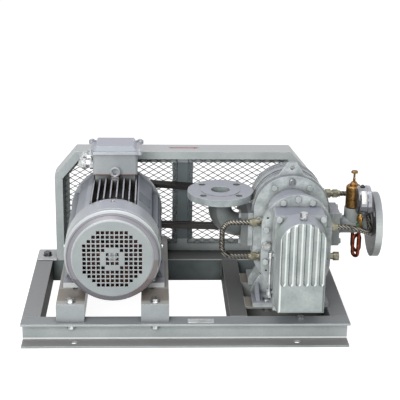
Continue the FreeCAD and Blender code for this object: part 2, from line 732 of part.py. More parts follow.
def motor_rail(label, side):
    """A closed box rail with slots in its top, so that the motor slides to tighten the belts."""
    middle = d.motor_x + side * motor_rail_reach
    half = d.motor_rail_width / 2
    end = rail_front_y + d.motor_rail_length
    wall = d.motor_rail_wall
    body = new_body(label)
    pad(body, "XY_Plane", d.rail_height, d.motor_rail_height,
        rectangle(middle - half, rail_front_y, middle + half, end))
    pocket(body, "XY_Plane", d.rail_height, d.motor_rail_height - wall,
           rectangle(middle - half + wall, rail_front_y + wall, middle + half - wall, end - wall))
    slot_x = d.motor_x + side * d.foot_spacing_x / 2
    slots = []
    for bolt_y in (foot_middle_y - d.foot_spacing_y / 2, foot_middle_y + d.foot_spacing_y / 2):
        slots.append(oval(slot_x, bolt_y - d.slot_travel / 2, bolt_y + d.slot_travel / 2, bolt_hole))
    holes = [circle(middle, y, bolt_hole) for y in (rail_bolt_front_y, d.rail_bolt_rear_y)]
    pocket(body, "XY_Plane", rail_top - wall, wall, *slots, *holes)
    return body


def skid_bolts():
    bolts = []
    for side in (-1, 1):
        x = d.motor_x + side * motor_rail_reach
        for y in (rail_bolt_front_y, d.rail_bolt_rear_y):
            grip = d.motor_rail_height + d.rail_wall
            bolts.append(through_bolt(point(x, y, rail_top), -Z, grip))
    shaped("rail_hold_down_bolts", Part.makeCompound(bolts))
    bolts = []
    for side in (-1, 1):
        x = d.motor_x + side * d.foot_spacing_x / 2
        for end in (-1, 1):
            y = foot_middle_y + end * d.foot_spacing_y / 2
            seat = point(x, y, rail_top + d.foot_thickness)
            bolts.append(through_bolt(seat, -Z, d.foot_thickness + d.motor_rail_wall))
    shaped("motor_foot_bolts", Part.makeCompound(bolts))
    bolts = []
    for side in (-1, 1):
        for y in (d.front_foot_bolt_y, d.rear_foot_bolt_y):
            seat = point(d.blower_x + side * d.foot_bolt_x, y, d.rail_height + d.foot_sole)
            bolts.append(through_bolt(seat, -Z, d.foot_sole + d.rail_wall))
    shaped("blower_foot_bolts", Part.makeCompound(bolts))


# The electric motor.
def motor_frame():
    """A finned barrel with its feet and the flat seat of the terminal box."""
    length = d.frame_rear_y - d.frame_front_y
    base = point(d.motor_x, d.frame_front_y, motor_z)
    x, z = float(d.motor_x), float(motor_z)
    front, rear = float(d.frame_front_y), float(d.frame_rear_y)
    radius, bore = float(d.barrel_radius), float(d.stator_radius)
    fin_front = float(d.cowl_rear_y) + 2
    thick = float(d.fin_thickness)
    pitch = float(d.fin_pitch)
    pieces = [rod(base, Y, radius, length)]
    for index in range(8):
        at = x + (index - 3.5) * pitch
        top = float(d.fin_top) - 9 * ((at - x) / (3.5 * pitch)) ** 2
        pieces.append(block(at - thick / 2, fin_front, z + 40, at + thick / 2, rear, z + top))
    limit = rod(point(x, fin_front, z), Y, d.fin_radius, rear - fin_front)
    for index in range(7):
        at = z + (index - 3) * pitch
        fin = block(x - 130, fin_front, at - thick / 2, x + 130, rear, at + thick / 2)
        pieces.append(fin.common(limit))
    for index in range(6):
        at = x + (index - 2.5) * pitch
        fin = block(at - thick / 2, fin_front, z - 105, at + thick / 2, rear, z - 60)
        pieces.append(fin)
    for angle in (-42, 42):
        shoulder = block(-24, fin_front, 80, 24, rear, float(d.fin_radius) - 5)
        shoulder.rotate(Vector(0, 0, 0), Y, angle)
        shoulder.translate(Vector(x, 0, z))
        pieces.append(shoulder)
    seat_half = float(d.box_half_width) - 6
    pieces.append(block(x - seat_half, d.box_front_y + 3, z + 80, x + seat_half, rear, z + float(d.terminal_seat)))
    pieces.append(rod(point(x, d.lifting_y, z + 80), Z, 11, d.eye_seat - 80))
    low = -float(d.shaft_height)
    foot_back = float(d.foot_front_y + d.foot_length)
    for side in (-1, 1):
        inner, outer = 58, float(d.foot_width) / 2
        ends = sorted((x + side * inner, x + side * outer))
        pieces.append(block(ends[0], d.foot_front_y, z + low, ends[1], foot_back, z + low + float(d.foot_thickness)))
        for web_y in (float(d.foot_front_y) + 36, foot_back - 46):
            corners = [(58, low + 5), (outer - 4, low + 5), (outer - 6, low + 18), (92, -36), (60, -36)]
            places = [Vector(x + side * u, web_y, z + w) for u, w in corners]
            web = Part.Face(Part.makePolygon(places + places[:1])).extrude(Vector(0, 10, 0))
            pieces.append(web)
    frame = pieces[0].fuse(pieces[1:])
    cuts = [rod(base - Y, Y, bore, length + 2)]
    for side in (-1, 1):
        for end in (-1, 1):
            y = foot_middle_y + end * d.foot_spacing_y / 2
            cuts.append(rod(point(x + side * float(d.foot_spacing_x) / 2, y, z + low - 1), Z, bolt_hole, 30))
    cuts.append(rod(point(x, d.lifting_y, z + d.eye_seat - 16), Z, d.eye_shank + 0.2, 20))
    cowl_edge = point(x, d.foot_front_y - 1, z)
    cuts.append(tube(cowl_edge, Y, d.cowl_radius + 0.6, d.cowl_radius - d.cowl_wall - 0.6,
                     d.cowl_rear_y - d.foot_front_y + 1.6))
    frame = frame.cut(cuts)
    shaped("motor_frame", frame.removeSplitter())


def lifting_eye():
    seat = point(d.motor_x, d.lifting_y, motor_z + d.eye_seat)
    collar = rod(seat, Z, 9, 4)
    shank = rod(seat - Z * 14, Z, d.eye_shank, 20)
    middle = seat + Z * float(4 + d.eye_ring + d.eye_thickness / 2)
    ring = Part.makeTorus(float(d.eye_ring), float(d.eye_thickness), middle, Y)
    shaped("lifting_eye", collar.fuse([shank, ring]))


def stator():
    middle = (d.frame_front_y + d.frame_rear_y) / 2
    front = middle - d.core_length / 2
    body = new_body("stator_core", d.motor_x, 0, motor_z)
    bore = d.rotor_radius + d.air_gap
    turn(body, rectangle(front, bore, front + d.core_length, d.stator_radius - d.stator_gap))
    ends = []
    for start in (front - d.winding_length, front + d.core_length):
        place = point(d.motor_x, start, motor_z)
        ends.append(tube(place, Y, d.stator_radius - 6, bore + 5, d.winding_length))
    shaped("stator_windings", Part.makeCompound(ends))
    rotor = new_body("rotor_core", d.motor_x, 0, motor_z)
    turn(rotor, rectangle(front, d.bearing_bore + d.pulley_fit, front + d.core_length, d.rotor_radius))
    for start in (front - 8, front + d.core_length):
        ring = rectangle(start, d.rotor_radius - 16, start + 8, d.rotor_radius - 3)
        turn(rotor, ring)


def shields():
    """The two end shields; each carries a ball bearing and enters the barrel with its spigot."""
    seat = d.bearing_radius + d.bearing_fit
    hub = d.bearing_radius + 9
    spigot = d.stator_radius - 0.2
    shaft = d.bearing_bore + d.shaft_room
    front = d.frame_front_y - d.fan_shield_thickness
    fan_end = new_body("motor_fan_shield", d.motor_x, 0, motor_z)
    inner_end = fan_bearing_y + d.bearing_width
    turn(fan_end, polygon(
        (front - 3, shaft), (front - 3, hub), (front, hub + 6), (front, d.fan_shield_radius),
        (d.frame_front_y, d.fan_shield_radius), (d.frame_front_y, spigot),
        (d.frame_front_y + d.spigot_depth, spigot), (d.frame_front_y + d.spigot_depth, spigot - 6),
        (d.frame_front_y, spigot - 8), (d.frame_front_y, hub), (inner_end, hub), (inner_end, seat),
        (fan_bearing_y, seat), (fan_bearing_y, shaft)))
    lug = pad(fan_end, "XZ_Plane", front, d.fan_shield_thickness,
              rectangle(-8, d.fan_shield_radius - 6, 8, d.cowl_radius - d.cowl_wall - 0.3))
    repeat_round(fan_end, lug, "Y_Axis", 4)
    hole = pocket(fan_end, "XY_Plane", d.fan_shield_radius - 2, 20, circle(0, cowl_screw_y, 3.2))
    repeat_round(fan_end, hole, "Y_Axis", 4)
    drive_end = new_body("motor_drive_shield", d.motor_x, 0, motor_z)
    back = d.frame_rear_y + d.shield_thickness
    hub_end = drive_bearing_y + d.bearing_width + 6
    turn(drive_end, polygon(
        (d.frame_rear_y, seat), (d.frame_rear_y, hub), (d.frame_rear_y - d.spigot_depth, spigot - 8),
        (d.frame_rear_y - d.spigot_depth, spigot), (d.frame_rear_y, spigot),
        (d.frame_rear_y, d.shield_radius), (back - 5, d.shield_radius), (back, d.shield_radius - 5),
        (back, hub + 8), (hub_end, hub), (hub_end, shaft), (drive_bearing_y + d.bearing_width, shaft),
        (drive_bearing_y + d.bearing_width, seat)))


cowl_screw_y = d.frame_front_y - d.fan_shield_thickness / 2


def fan_cowl():
    """A drawn sheet cowl with a stepped front and square air holes on a square grid."""
    wall = d.cowl_wall
    front, shoulder, radius = d.cowl_front_y, d.cowl_shoulder_y, d.cowl_radius
    step = d.cowl_step
    ring = d.grille_radius + 2
    lip = radius - 7
    outer = [
        (front, 0), (front, d.grille_radius), (front + 1.5, ring), (front + step, ring),
        (front + step + 3, lip - 3), (front + step + 1, lip - 1.5), (front + step + 2, lip), (shoulder - 2, radius - 3),
        (shoulder, radius - 1), (shoulder + 10, radius - 1), (shoulder + 11, radius), (d.cowl_rear_y, radius)]
    inner = [
        (d.cowl_rear_y, radius - wall), (shoulder + 11, radius - wall), (shoulder, radius - wall - 1.5),
        (shoulder - 1, radius - wall - 3), (front + step + 5, lip - wall), (front + step + 5, ring - 1),
        (front + wall, ring - wall), (front + wall, 0)]
    outline = outer + inner
    corners = [point(0, y, reach) for y, reach in outline]
    cowl = Part.Face(Part.makePolygon(corners + corners[:1])).revolve(Vector(0, 0, 0), Y, 360)
    half = float(d.grille_hole) / 2
    pitch = float(d.grille_pitch)
    cuts = []
    for row in range(-6, 7):
        for column in range(-6, 7):
            blank = sorted((abs(row), abs(column))) in ([0, 2], [1, 2])
            if math.hypot(row, column) > float(d.grille_reach) or blank:
                continue
            x = pitch * column
            z = pitch * row
            cuts.append(block(x - half, front - 1, z - half, x + half, front + wall + 1, z + half))
    screws = []
    for index in range(4):
        angle = math.radians(90 * index)
        out = Vector(math.sin(angle), 0, math.cos(angle))
        cuts.append(rod(point(0, cowl_screw_y, 0), out, d.cowl_screw_radius + 0.2, radius + 5))
        seat = point(d.motor_x, cowl_screw_y, motor_z) + out * float(radius + 0.3)
        head = rod(seat, out, 5.5, 3)
        screws.append(head.fuse(rod(seat, -out, d.cowl_screw_radius, 9)))
    cowl = cowl.cut(cuts)
    cowl.translate(point(d.motor_x, 0, motor_z))
    shaped("fan_cowl", cowl)
    shaped("cowl_screws", Part.makeCompound(screws))


def motor_turning_parts():
    shaft = new_body("motor_shaft", d.motor_x, 0, motor_z)
    front = fan_bearing_y - 3
    turn(shaft, polygon(
        (d.fan_front_y - 6, 0), (d.fan_front_y - 6, d.fan_shaft_radius), (front, d.fan_shaft_radius),
        (front, d.bearing_bore), (drive_bearing_y + d.bearing_width + 12, d.bearing_bore),
        (drive_bearing_y + d.bearing_width + 12, d.motor_shaft_radius),
        (d.shaft_end_y - 2, d.motor_shaft_radius), (d.shaft_end_y, d.motor_shaft_radius - 2),
        (d.shaft_end_y, 0)))
    fan = new_body("cooling_fan", d.motor_x, 0, motor_z)
    front, back = d.fan_front_y, d.fan_front_y + d.fan_length
    bore = d.fan_shaft_radius + d.pulley_fit
    hub = d.fan_shaft_radius + 10
    turn(fan, polygon(
        (front, bore), (front, hub), (back - 6, hub + 4), (back - 6, d.fan_radius - 12),
        (back - 3, d.fan_radius - 12), (back, hub + 6), (back, bore)))
    blade = pad(fan, "XZ_Plane", front + 4, d.fan_length - 9,
                rectangle(-d.fan_blade / 2, hub - 2, d.fan_blade / 2, d.fan_radius))
    repeat_round(fan, blade, "Y_Axis", 8)


def bearing(label_parts, x, y, z):
    """A sealed ball bearing seen from outside: two rings with a recessed seal between them."""
    start = point(x, y, z)
    outer = float(d.bearing_radius)
    inner = float(d.bearing_bore + d.bearing_fit)
    width = float(d.bearing_width)
    ring = tube(start, Y, outer, inner, width)
    recess = tube(start - Y, Y, outer - 5, inner + 5, 2)
    other = tube(start + Y * (width - 1), Y, outer - 5, inner + 5, 2)
    label_parts.append(ring.cut([recess, other]))


def bearings():
    motor = []
    bearing(motor, d.motor_x, fan_bearing_y, motor_z)
    bearing(motor, d.motor_x, drive_bearing_y, motor_z)
    shaped("motor_bearings", Part.makeCompound(motor))
    for label, y in (("blower_front_bearings", front_bearing_y), ("blower_rear_bearings", rear_bearing_y)):
        pair = []
        bearing(pair, d.blower_x, y, d.drive_z)
        bearing(pair, d.blower_x, y, driven_z)
        shaped(label, Part.makeCompound(pair))


def terminal_box():
    """The box on the motor with its gasketed lid, corner ears and two cable glands."""
    low = motor_z + d.terminal_seat
    high = low + d.box_height
    half = d.box_half_width
    front, back, wall = d.box_front_y, d.box_rear_y, d.box_wall
    body = new_body("terminal_box", d.motor_x, 0, 0)
    pad(body, "XY_Plane", low, d.box_height, rectangle(-half, front, half, back))
    rounded(body, 8, lambda edge: along(edge, Z))
    pocket(body, "XY_Plane", low + wall, d.box_height,
           rectangle(-half + wall, front + wall, half - wall, back - wall))
    gland_holes = [circle(y, low + d.box_height * 0.42, 8.2) for y in gland_places]
    pocket(body, "YZ_Plane", -half - 1, wall + 2, *gland_holes)
    lid = new_body("terminal_box_lid", d.motor_x, 0, 0)
    over = d.lid_overhang
    pad(lid, "XY_Plane", high, d.lid_plate, rectangle(-half - over, front - over, half + over, back + over))
    for x in (-half - over, half + over):
        for y in (front, back):
            pad(lid, "XY_Plane", high, d.lid_plate + 2, circle(x, y, d.ear_radius))
    rim = high + d.lid_plate
    slope = d.lid_bevel
    edge = 3
    loft(lid, "XY_Plane", rim, rectangle(-half + edge, front + edge, half - edge, back - edge),
         rim + d.lid_rise, rectangle(-half + slope, front + slope, half - slope, back - slope))
    holes = [circle(x, y, 3.2) for x in (-half - over, half + over) for y in (front, back)]
    pocket(lid, "XY_Plane", high, d.lid_plate + 3, *holes)
    screws = []
    for x in (-half - over, half + over):
        for y in (front, back):
            seat = point(d.motor_x + x, y, high + d.lid_plate + 2)
            screws.append(rod(seat, Z, 5, 3).fuse(rod(seat, -Z, 3, d.lid_plate + 2)))
    shaped("terminal_lid_screws", Part.makeCompound(screws))
    glands = []
    for y in gland_places:
        seat = point(d.motor_x - half, y, low + d.box_height * 0.42)
        nut = hex_prism(seat, -X, 2 * d.gland_radius, 9)
        body_part = rod(seat - X * 9, -X, d.gland_radius - 2.5, 10)
        cap = hex_prism(seat - X * 19, -X, 2 * d.gland_radius - 2, 11)
        dome = Part.makeCone(float(d.gland_radius) - 2, 8, float(d.gland_length) - 30, seat - X * 30, -X)
        shank = rod(seat, X, 8, wall + 1)
        bore = rod(seat - X * 40, X, 5.5, 60)
        glands.append(nut.fuse([body_part, cap, dome, shank]).cut(bore))
    shaped("cable_glands", Part.makeCompound(glands))


gland_places = (d.box_front_y + 26, d.box_rear_y - 22)


def data_plate():
    """A bare plate on the motor's right shoulder, held by four rivets."""
    plate = Part.makeBox(36, 62, 1, Vector(-18, 0, 0))
    rivets = [Part.makeCylinder(1.8, 1.4, Vector(x, y, 1)) for x in (-15, 15) for y in (4, 58)]
    shape = plate.fuse(rivets)
    shape.translate(Vector(0, 0, float(d.fin_radius) - 5))
    shape.rotate(Vector(0, 0, 0), Y, 42)
    shape.translate(point(d.motor_x, -60, motor_z))
    shaped("motor_data_plate", shape)
    low = point(d.rail_plate_x, d.rail_plate_y, d.rail_height)
    plate = Part.makeBox(64, 22, 1, low)
    rivets = [rod(low + Vector(x, y, 1), Z, 1.8, 0.6) for x in (3.5, 60.5) for y in (3.5, 18.5)]
    shaped("rail_data_plate", plate.fuse(rivets))


# The belt drive.
def belt_section(outer, y):
    """Half widths and radii of a belt's wedge, as its four corners in height and depth."""
    slope = math.tan(math.radians(float(d.belt_flank)))
    top = float(d.belt_width) / 2
    low = top - float(d.belt_thickness) * slope
    inner = outer - float(d.belt_thickness)
    return [(outer, y - top), (outer, y + top), (inner, y + low), (inner, y - low)]


def belt(y):
    """A belt round both pulleys: two turned arcs and two straight runs."""
    motor = Vector(float(d.motor_x), 0, float(motor_z))
    blower = Vector(float(d.blower_x), 0, float(d.drive_z))
    big = float(d.motor_pitch_radius + d.belt_crown)
    small = float(d.blower_pitch_radius + d.belt_crown)
    across = blower - motor
    heading = math.atan2(across.z, across.x)
    lean = math.asin((big - small) / across.Length)
    pieces = []
    for sign in (1, -1):
        normal_angle = heading + sign * (math.pi / 2 - lean)
        normal = Vector(math.cos(normal_angle), 0, math.sin(normal_angle))
        start = motor + normal * big
        end = blower + normal * small
        corners = [motor + normal * radius + Y * at for radius, at in belt_section(big, y)]
        face = Part.Face(Part.makePolygon(corners + corners[:1]))
        pieces.append(face.extrude(end - start))
    wrap = 180 + math.degrees(2 * lean)
    for centre, radius, first, sweep in (
            (motor, big, heading + math.pi / 2 - lean, wrap),
            (blower, small, heading - math.pi / 2 + lean, 360 - wrap)):
        out = Vector(math.cos(first), 0, math.sin(first))
        corners = [centre + out * reach + Y * at for reach, at in belt_section(radius, y)]
        face = Part.Face(Part.makePolygon(corners + corners[:1]))
        pieces.append(face.revolve(centre, Vector(0, -1, 0), sweep))
    return pieces[0].fuse(pieces[1:]).removeSplitter()


def belts():
    for label, sign in (("drive_belt_front", -1), ("drive_belt_rear", 1)):
        shaped(label, belt(float(d.belt_y) + sign * float(d.belt_pitch) / 2))


def pulley(label, x, z, pitch, bore):
    """A two-groove pulley; each groove takes its size from the belt and a clearance."""
    slope = tangent(d.belt_flank)
    rim = pitch + d.pulley_rim
    belt_top = pitch + d.belt_crown
    half = d.belt_width / 2 - (belt_top - rim) * slope + d.belt_gap
    depth = belt_top - rim
    floor_radius = belt_top - d.belt_thickness - 2.5
    floor_half = half - (rim - floor_radius) * slope
    start = d.belt_y - d.pulley_width / 2
    end = d.belt_y + d.pulley_width / 2
    corners = [(start, bore + d.pulley_fit), (start, rim)]
    for middle in (d.belt_y - d.belt_pitch / 2, d.belt_y + d.belt_pitch / 2):
        corners += [(middle - half, rim), (middle - floor_half, floor_radius),
                    (middle + floor_half, floor_radius), (middle + half, rim)]
    corners += [(end, rim), (end, bore + 26), (end - 7, bore + 24), (end - 7, bore + 14), (end, bore + 12),
                (end, bore + d.pulley_fit)]
    body = new_body(label, x, 0, z)
    turn(body, polygon(*corners))
    return body


def pulleys():
    pulley("motor_pulley", d.motor_x, motor_z, d.motor_pitch_radius, d.motor_shaft_radius)
    pulley("blower_pulley", d.blower_x, d.drive_z, d.blower_pitch_radius, d.motor_shaft_radius)


# The belt guard.
def guard_outline(inset, low):
    """The guard's outline, moved inwards by an inset, down to a height."""
    left, right = d.guard_left_x, d.guard_right_x
    top_left, top_right = d.guard_top_left_x, d.guard_top_right_x
    left_low = d.rail_height + d.guard_left_shoulder
    right_low = d.rail_height + d.guard_right_shoulder
    return polygon(
        (left + inset, low), (right - inset, low), (right - inset, right_low - inset * 0.4),
        (top_right - inset * 0.5, guard_top - inset), (top_left + inset * 0.5, guard_top - inset),
        (left + inset, left_low - inset * 0.4))


def guard():
    wall = d.guard_sheet
    low = d.rail_height
    body = new_body("guard_frame")
    pad(body, "XZ_Plane", guard_front_y, d.guard_depth, guard_outline(0, low))
    pocket(body, "XZ_Plane", guard_front_y + wall, d.guard_depth - 2 * wall,
           guard_outline(wall, low - 1))
    pocket(body, "XZ_Plane", guard_front_y - 1, wall + 2, guard_outline(d.guard_lip, low - 1))
    window = d.guard_flange
    high = guard_top - d.guard_top_flange
    pocket(body, "XZ_Plane", half_depth - wall - 1, wall + 2, polygon(
        (d.guard_left_x + window, low + window), (d.guard_right_x - window, low + window),
        (d.guard_right_x - window, low + d.guard_right_shoulder - window * 0.4),
        (d.guard_top_right_x - window * 0.2, high),
        (d.guard_top_left_x + window * 0.2, high),
        (d.guard_left_x + window, low + d.guard_left_shoulder - window * 0.4)))
    front, back = guard_front_y + wall - 1, half_depth - wall + 1
    for left, right in ((d.guard_left_x + 1, d.guard_left_x + d.guard_foot),
                        (d.guard_right_x - d.guard_foot, d.guard_right_x - 1)):
        pad(body, "XY_Plane", low, wall, rectangle(left, front, right, back))
    holes = [circle(x, guard_front_y + d.guard_depth / 2, screw_hole) for x in guard_bolt_x]
    pocket(body, "XY_Plane", low - 1, wall + 2, *holes)
    bolts = []
    for x in guard_bolt_x:
        seat = point(x, guard_front_y + d.guard_depth / 2, low + wall)
        head = hex_prism(seat + Z * float(d.screw_head), -Z, d.screw_across, d.screw_head)
        shank = rod(seat, -Z, d.screw_radius, wall + d.rail_wall + 10)
        nut = hex_prism(seat - Z * float(wall + d.rail_wall), -Z, d.screw_across, 6.5)
        bolts.append(head.fuse([shank, nut]))
    shaped("guard_bolts", Part.makeCompound(bolts))


def strut():
    body = new_body("guard_strut")
    low = d.rail_height + d.guard_flange
    pad(body, "XZ_Plane", half_depth - d.guard_sheet, d.guard_sheet,
        rectangle(d.strut_left_x, low, d.strut_left_x + d.strut_width, guard_top - d.guard_top_flange))


def mesh_panel(label, outline):
    """Expanded metal: staggered diamonds pierced out of one sheet, inside an uncut edge."""
    y = float(half_depth - d.guard_sheet - d.mesh_sheet)
    corners = [Vector(float(x), y, float(z)) for x, z in outline]
    face = Part.Face(Part.makePolygon(corners + corners[:1]))
    rim = face.makeOffset2D(-float(d.mesh_rim))
    inner = Part.Face(rim.Wires[0]) if not rim.Faces else rim.Faces[0]
    box = inner.BoundBox
    half_x = float(d.mesh_pitch_x - d.mesh_strand * 2) / 2
    half_z = float(d.mesh_pitch_z - d.mesh_strand * 1.3) / 2
    step_x, step_z = float(d.mesh_pitch_x), float(d.mesh_pitch_z)
    diamonds = []
    for row in range(int(box.ZLength / (step_z / 2)) + 3):
        z = box.ZMin + (row - 0.5) * step_z / 2
        shift = step_x / 2 if row % 2 else 0
        for column in range(int(box.XLength / step_x) + 3):
            x = box.XMin + (column - 0.5) * step_x + shift
            places = [Vector(x - half_x, y, z), Vector(x, y, z - half_z), Vector(x + half_x, y, z),
                      Vector(x, y, z + half_z), Vector(x - half_x, y, z)]
            diamonds.append(Part.Face(Part.makePolygon(places)))
    holes = [piece for piece in inner.common(Part.makeCompound(diamonds)).Faces if piece.Area > 60]
    pierced = face.cut(Part.makeCompound(holes))
    shaped(label, pierced.Faces[0].extrude(Vector(0, float(d.mesh_sheet), 0)))


def mesh():
    lap = float(d.mesh_lap)
    low = float(d.rail_height + d.guard_flange) - lap
    high = float(guard_top - d.guard_top_flange) + lap
    left = float(d.guard_left_x + d.guard_flange) - lap
    right = float(d.guard_right_x - d.guard_flange) + lap
    left_shoulder = float(d.rail_height + d.guard_left_shoulder - d.guard_flange * 0.4)
    right_shoulder = float(d.rail_height + d.guard_right_shoulder - d.guard_flange * 0.4)
    strut_left = float(d.strut_left_x) + lap
    strut_right = float(d.strut_left_x + d.strut_width) - lap
    top_left = float(d.guard_top_left_x + d.guard_flange * 0.2) - lap / 2
    top_right = float(d.guard_top_right_x - d.guard_flange * 0.2) + lap / 2
    mesh_panel("guard_mesh_left", [
        (left, low), (strut_left, low), (strut_left, high), (top_left, high), (left, left_shoulder)])
    mesh_panel("guard_mesh_right", [
        (strut_right, low), (right, low), (right, right_shoulder), (top_right, high), (strut_right, high)])


# The blower: two three-lobed rotors in an oval casing between two end plates.
def foot_web(shoulder):
    half = d.foot_half
    return polygon(
        (-half, d.rail_height), (half, d.rail_height), (half, d.rail_height + 20), (half - 22, shoulder),
        (-half + 22, shoulder), (-half, d.rail_height + 20))


def both(radius):
    """A circle round each of the two shafts."""
    return circle(0, d.drive_z, radius), circle(0, driven_z, radius)


def front_end_plate():
    body = new_body("front_end_plate", d.blower_x, 0, 0)
    start = d.plate_front_y
    pad(body, "XZ_Plane", start, d.plate_thickness, oval(0, d.end_plate_low_z, driven_z, d.end_plate_radius))
    pad(body, "XZ_Plane", start + 2, d.plate_thickness - 2, foot_web(d.rail_height + 62))
    pad(body, "XY_Plane", d.rail_height, d.foot_sole,
        rectangle(-d.foot_half, d.front_foot_y, d.foot_half, start + d.plate_thickness))
    for side in (-1, 1):
        edge = side * (d.foot_half - 14)
        pad(body, "YZ_Plane", edge - 5, 10, polygon(
            (d.front_foot_y + 8, d.rail_height + d.foot_sole - 1), (start + 3, d.rail_height + d.foot_sole - 1),
            (start + 3, d.rail_height + 40)))
    for height in (d.drive_z, driven_z):
        pad(body, "XZ_Plane", start - d.boss_length, d.boss_length + 1, circle(0, height, d.boss_radius))
    seat = d.bearing_radius + d.bearing_fit
    pocket(body, "XZ_Plane", start - d.boss_length - 1, front_bearing_y + d.bearing_width - start + d.boss_length + 1,
           *both(seat))
    seal_start = front_bearing_y + d.bearing_width
    pocket(body, "XZ_Plane", seal_start - 1, d.seal_width + 1, *both(d.seal_radius + 0.1))
    pocket(body, "XZ_Plane", start - 1, d.plate_thickness + 2, *both(d.rotor_shaft_radius + d.shaft_room))
    holes = [circle(side * d.foot_bolt_x, d.front_foot_bolt_y, bolt_hole) for side in (-1, 1)]
    pocket(body, "XY_Plane", d.rail_height - 1, d.foot_sole + 2, *holes)
    pocket(body, "XZ_Plane", start - 1, d.screw_depth + 1,
           *[circle(x, z, screw_hole) for x, z in front_plate_screws])
    plug_hole = circle(0, driven_z + d.plate_plug_rise, 5)
    pocket(body, "XZ_Plane", start - 1, 8, plug_hole)


front_plate_screws = [(-44, driven_z + 63), (44, driven_z + 63), (-80, driven_z - 20), (80, driven_z - 20),
                      (-80, d.drive_z - 12), (80, d.drive_z - 12)]


def casing():
    """The barrel with its two flanges, ribs, lifting lug and the two square port pads."""
    body = new_body("blower_casing", d.blower_x, 0, 0)
    barrel = chamber_radius + d.casing_wall
    length = d.chamber_length
    pad(body, "XZ_Plane", casing_front_y, length, oval(0, d.drive_z, driven_z, barrel))
    pad(body, "XZ_Plane", casing_front_y, d.casing_flange_depth,
        oval(0, d.drive_z, driven_z, d.casing_flange_radius))
    pad(body, "XZ_Plane", casing_rear_y - d.casing_flange_depth, d.casing_flange_depth,
        oval(0, d.drive_z, driven_z, d.end_plate_radius))
    for index in range(3):
        at = casing_front_y + d.casing_flange_depth + 7 + index * d.rib_pitch
        pad(body, "XZ_Plane", at, d.rib_width, oval(0, d.drive_z, driven_z, d.rib_radius))
    lug_low = driven_z + d.casing_flange_radius - 12
    pad(body, "XZ_Plane", casing_front_y, d.casing_flange_depth, polygon(
        (-36, lug_low), (36, lug_low), (11, lug_low + 38), (-11, lug_low + 38)))
    pocket(body, "XZ_Plane", casing_front_y - 1, d.casing_flange_depth + 2, circle(0, lug_low + 25, 6))
    inner = length / 2 - 2
    for side in (-1, 1):
        face = side * d.port_reach
        back = face - side * d.port_plate
        low_x, high_x = (face, back) if side < 0 else (back, face)
        half = d.port_width / 2
        tall = d.port_height / 2
        pad(body, "YZ_Plane", low_x, d.port_plate,
            rectangle(port_y - half, port_z - tall, port_y + half, port_z + tall))
        neck = d.port_reach - 60
        pad(body, "YZ_Plane", face if side < 0 else 60, neck,
            rectangle(port_y - inner, port_z - tall + 6, port_y + inner, port_z + tall - 6))
    for height in (d.drive_z, driven_z):
        pocket(body, "XZ_Plane", casing_front_y - 1, length + 2, circle(0, height, chamber_radius))
    pocket(body, "YZ_Plane", -d.port_reach - 1, 2 * d.port_reach + 2, circle(port_y, port_z, d.pipe_bore))
    holes = [circle(port_y + u, port_z + w, screw_hole) for u, w in port_screws]
    pocket(body, "YZ_Plane", -d.port_reach - 1, d.port_plate - 2, *holes)
    pocket(body, "YZ_Plane", d.port_reach - d.port_plate + 3, d.port_plate, *holes)


port_screws = [(u * (d.port_width / 2 - 9), w * (d.port_height / 2 - 9)) for u in (-1, 1) for w in (-1, 1)]


def rear_end_plate():
    body = new_body("rear_end_plate", d.blower_x, 0, 0)
    start = casing_rear_y
    depth = d.rear_plate_depth
    pad(body, "XZ_Plane", start, 9, oval(0, d.end_plate_low_z, driven_z, d.end_plate_radius))
    pad(body, "XZ_Plane", start, depth, oval(0, d.drive_z, driven_z, d.end_plate_radius - 12))
    for index in range(3):
        pad(body, "XZ_Plane", start + 15 + index * d.rib_pitch, d.rib_width,
            oval(0, d.drive_z, driven_z, d.rib_radius))
    pad(body, "XZ_Plane", start, 11, foot_web(d.rail_height + 62))
    pad(body, "XY_Plane", d.rail_height, d.foot_sole,
        rectangle(-d.foot_half, start, d.foot_half, d.rear_foot_y))
    for side in (-1, 1):
        edge = side * (d.foot_half - 14)
        pad(body, "YZ_Plane", edge - 5, 10, polygon(
            (start + 10, d.rail_height + d.foot_sole - 1), (d.rear_foot_y - 24, d.rail_height + d.foot_sole - 1),
            (start + 10, d.rail_height + 40)))
    back = start + depth
    pocket(body, "XZ_Plane", rear_bearing_y, d.bearing_width + 3, *both(d.bearing_radius + d.bearing_fit))
    pocket(body, "XZ_Plane", rear_bearing_y - d.seal_width, d.seal_width + 1, *both(d.seal_radius + 0.1))
    pocket(body, "XZ_Plane", start - 1, depth + 2, *both(d.rotor_shaft_radius + d.shaft_room))
    holes = [circle(side * d.foot_bolt_x, d.rear_foot_bolt_y, bolt_hole) for side in (-1, 1)]
    pocket(body, "XY_Plane", d.rail_height - 1, d.foot_sole + 2, *holes)
    pocket(body, "XZ_Plane", back - d.screw_depth, d.screw_depth + 1,
           *[circle(x, z, screw_hole) for x, z in rear_cover_screws])
    pad(body, "YZ_Plane", d.end_plate_radius - 14, 14 + 3, circle(d.hose_rear_y, d.hose_rear_z, d.port_boss))
    cover = new_body("rear_bearing_cover", d.blower_x, 0, 0)
    pad(cover, "XZ_Plane", back, d.rear_cover_depth, oval(0, d.drive_z, driven_z, d.rear_cover_radius))
    pocket(cover, "XZ_Plane", back - 1, d.rear_cover_depth + 2, circle(0, d.drive_z, d.rotor_shaft_radius + d.shaft_room))
    pocket(cover, "XZ_Plane", back - 1, 5, circle(0, driven_z, d.rotor_shaft_radius + 4))
    pocket(cover, "XZ_Plane", back - 1, d.rear_cover_depth + 2,
           *[circle(x, z, screw_hole) for x, z in rear_cover_screws])
    rounded(cover, 2, lambda edge: flat_at(edge, "y", float(back + d.rear_cover_depth)) and edge.Length > 120)


rear_cover_screws = [(x, z) for x in (-37, 37) for z in (d.drive_z, d.drive_z + 48, driven_z)]


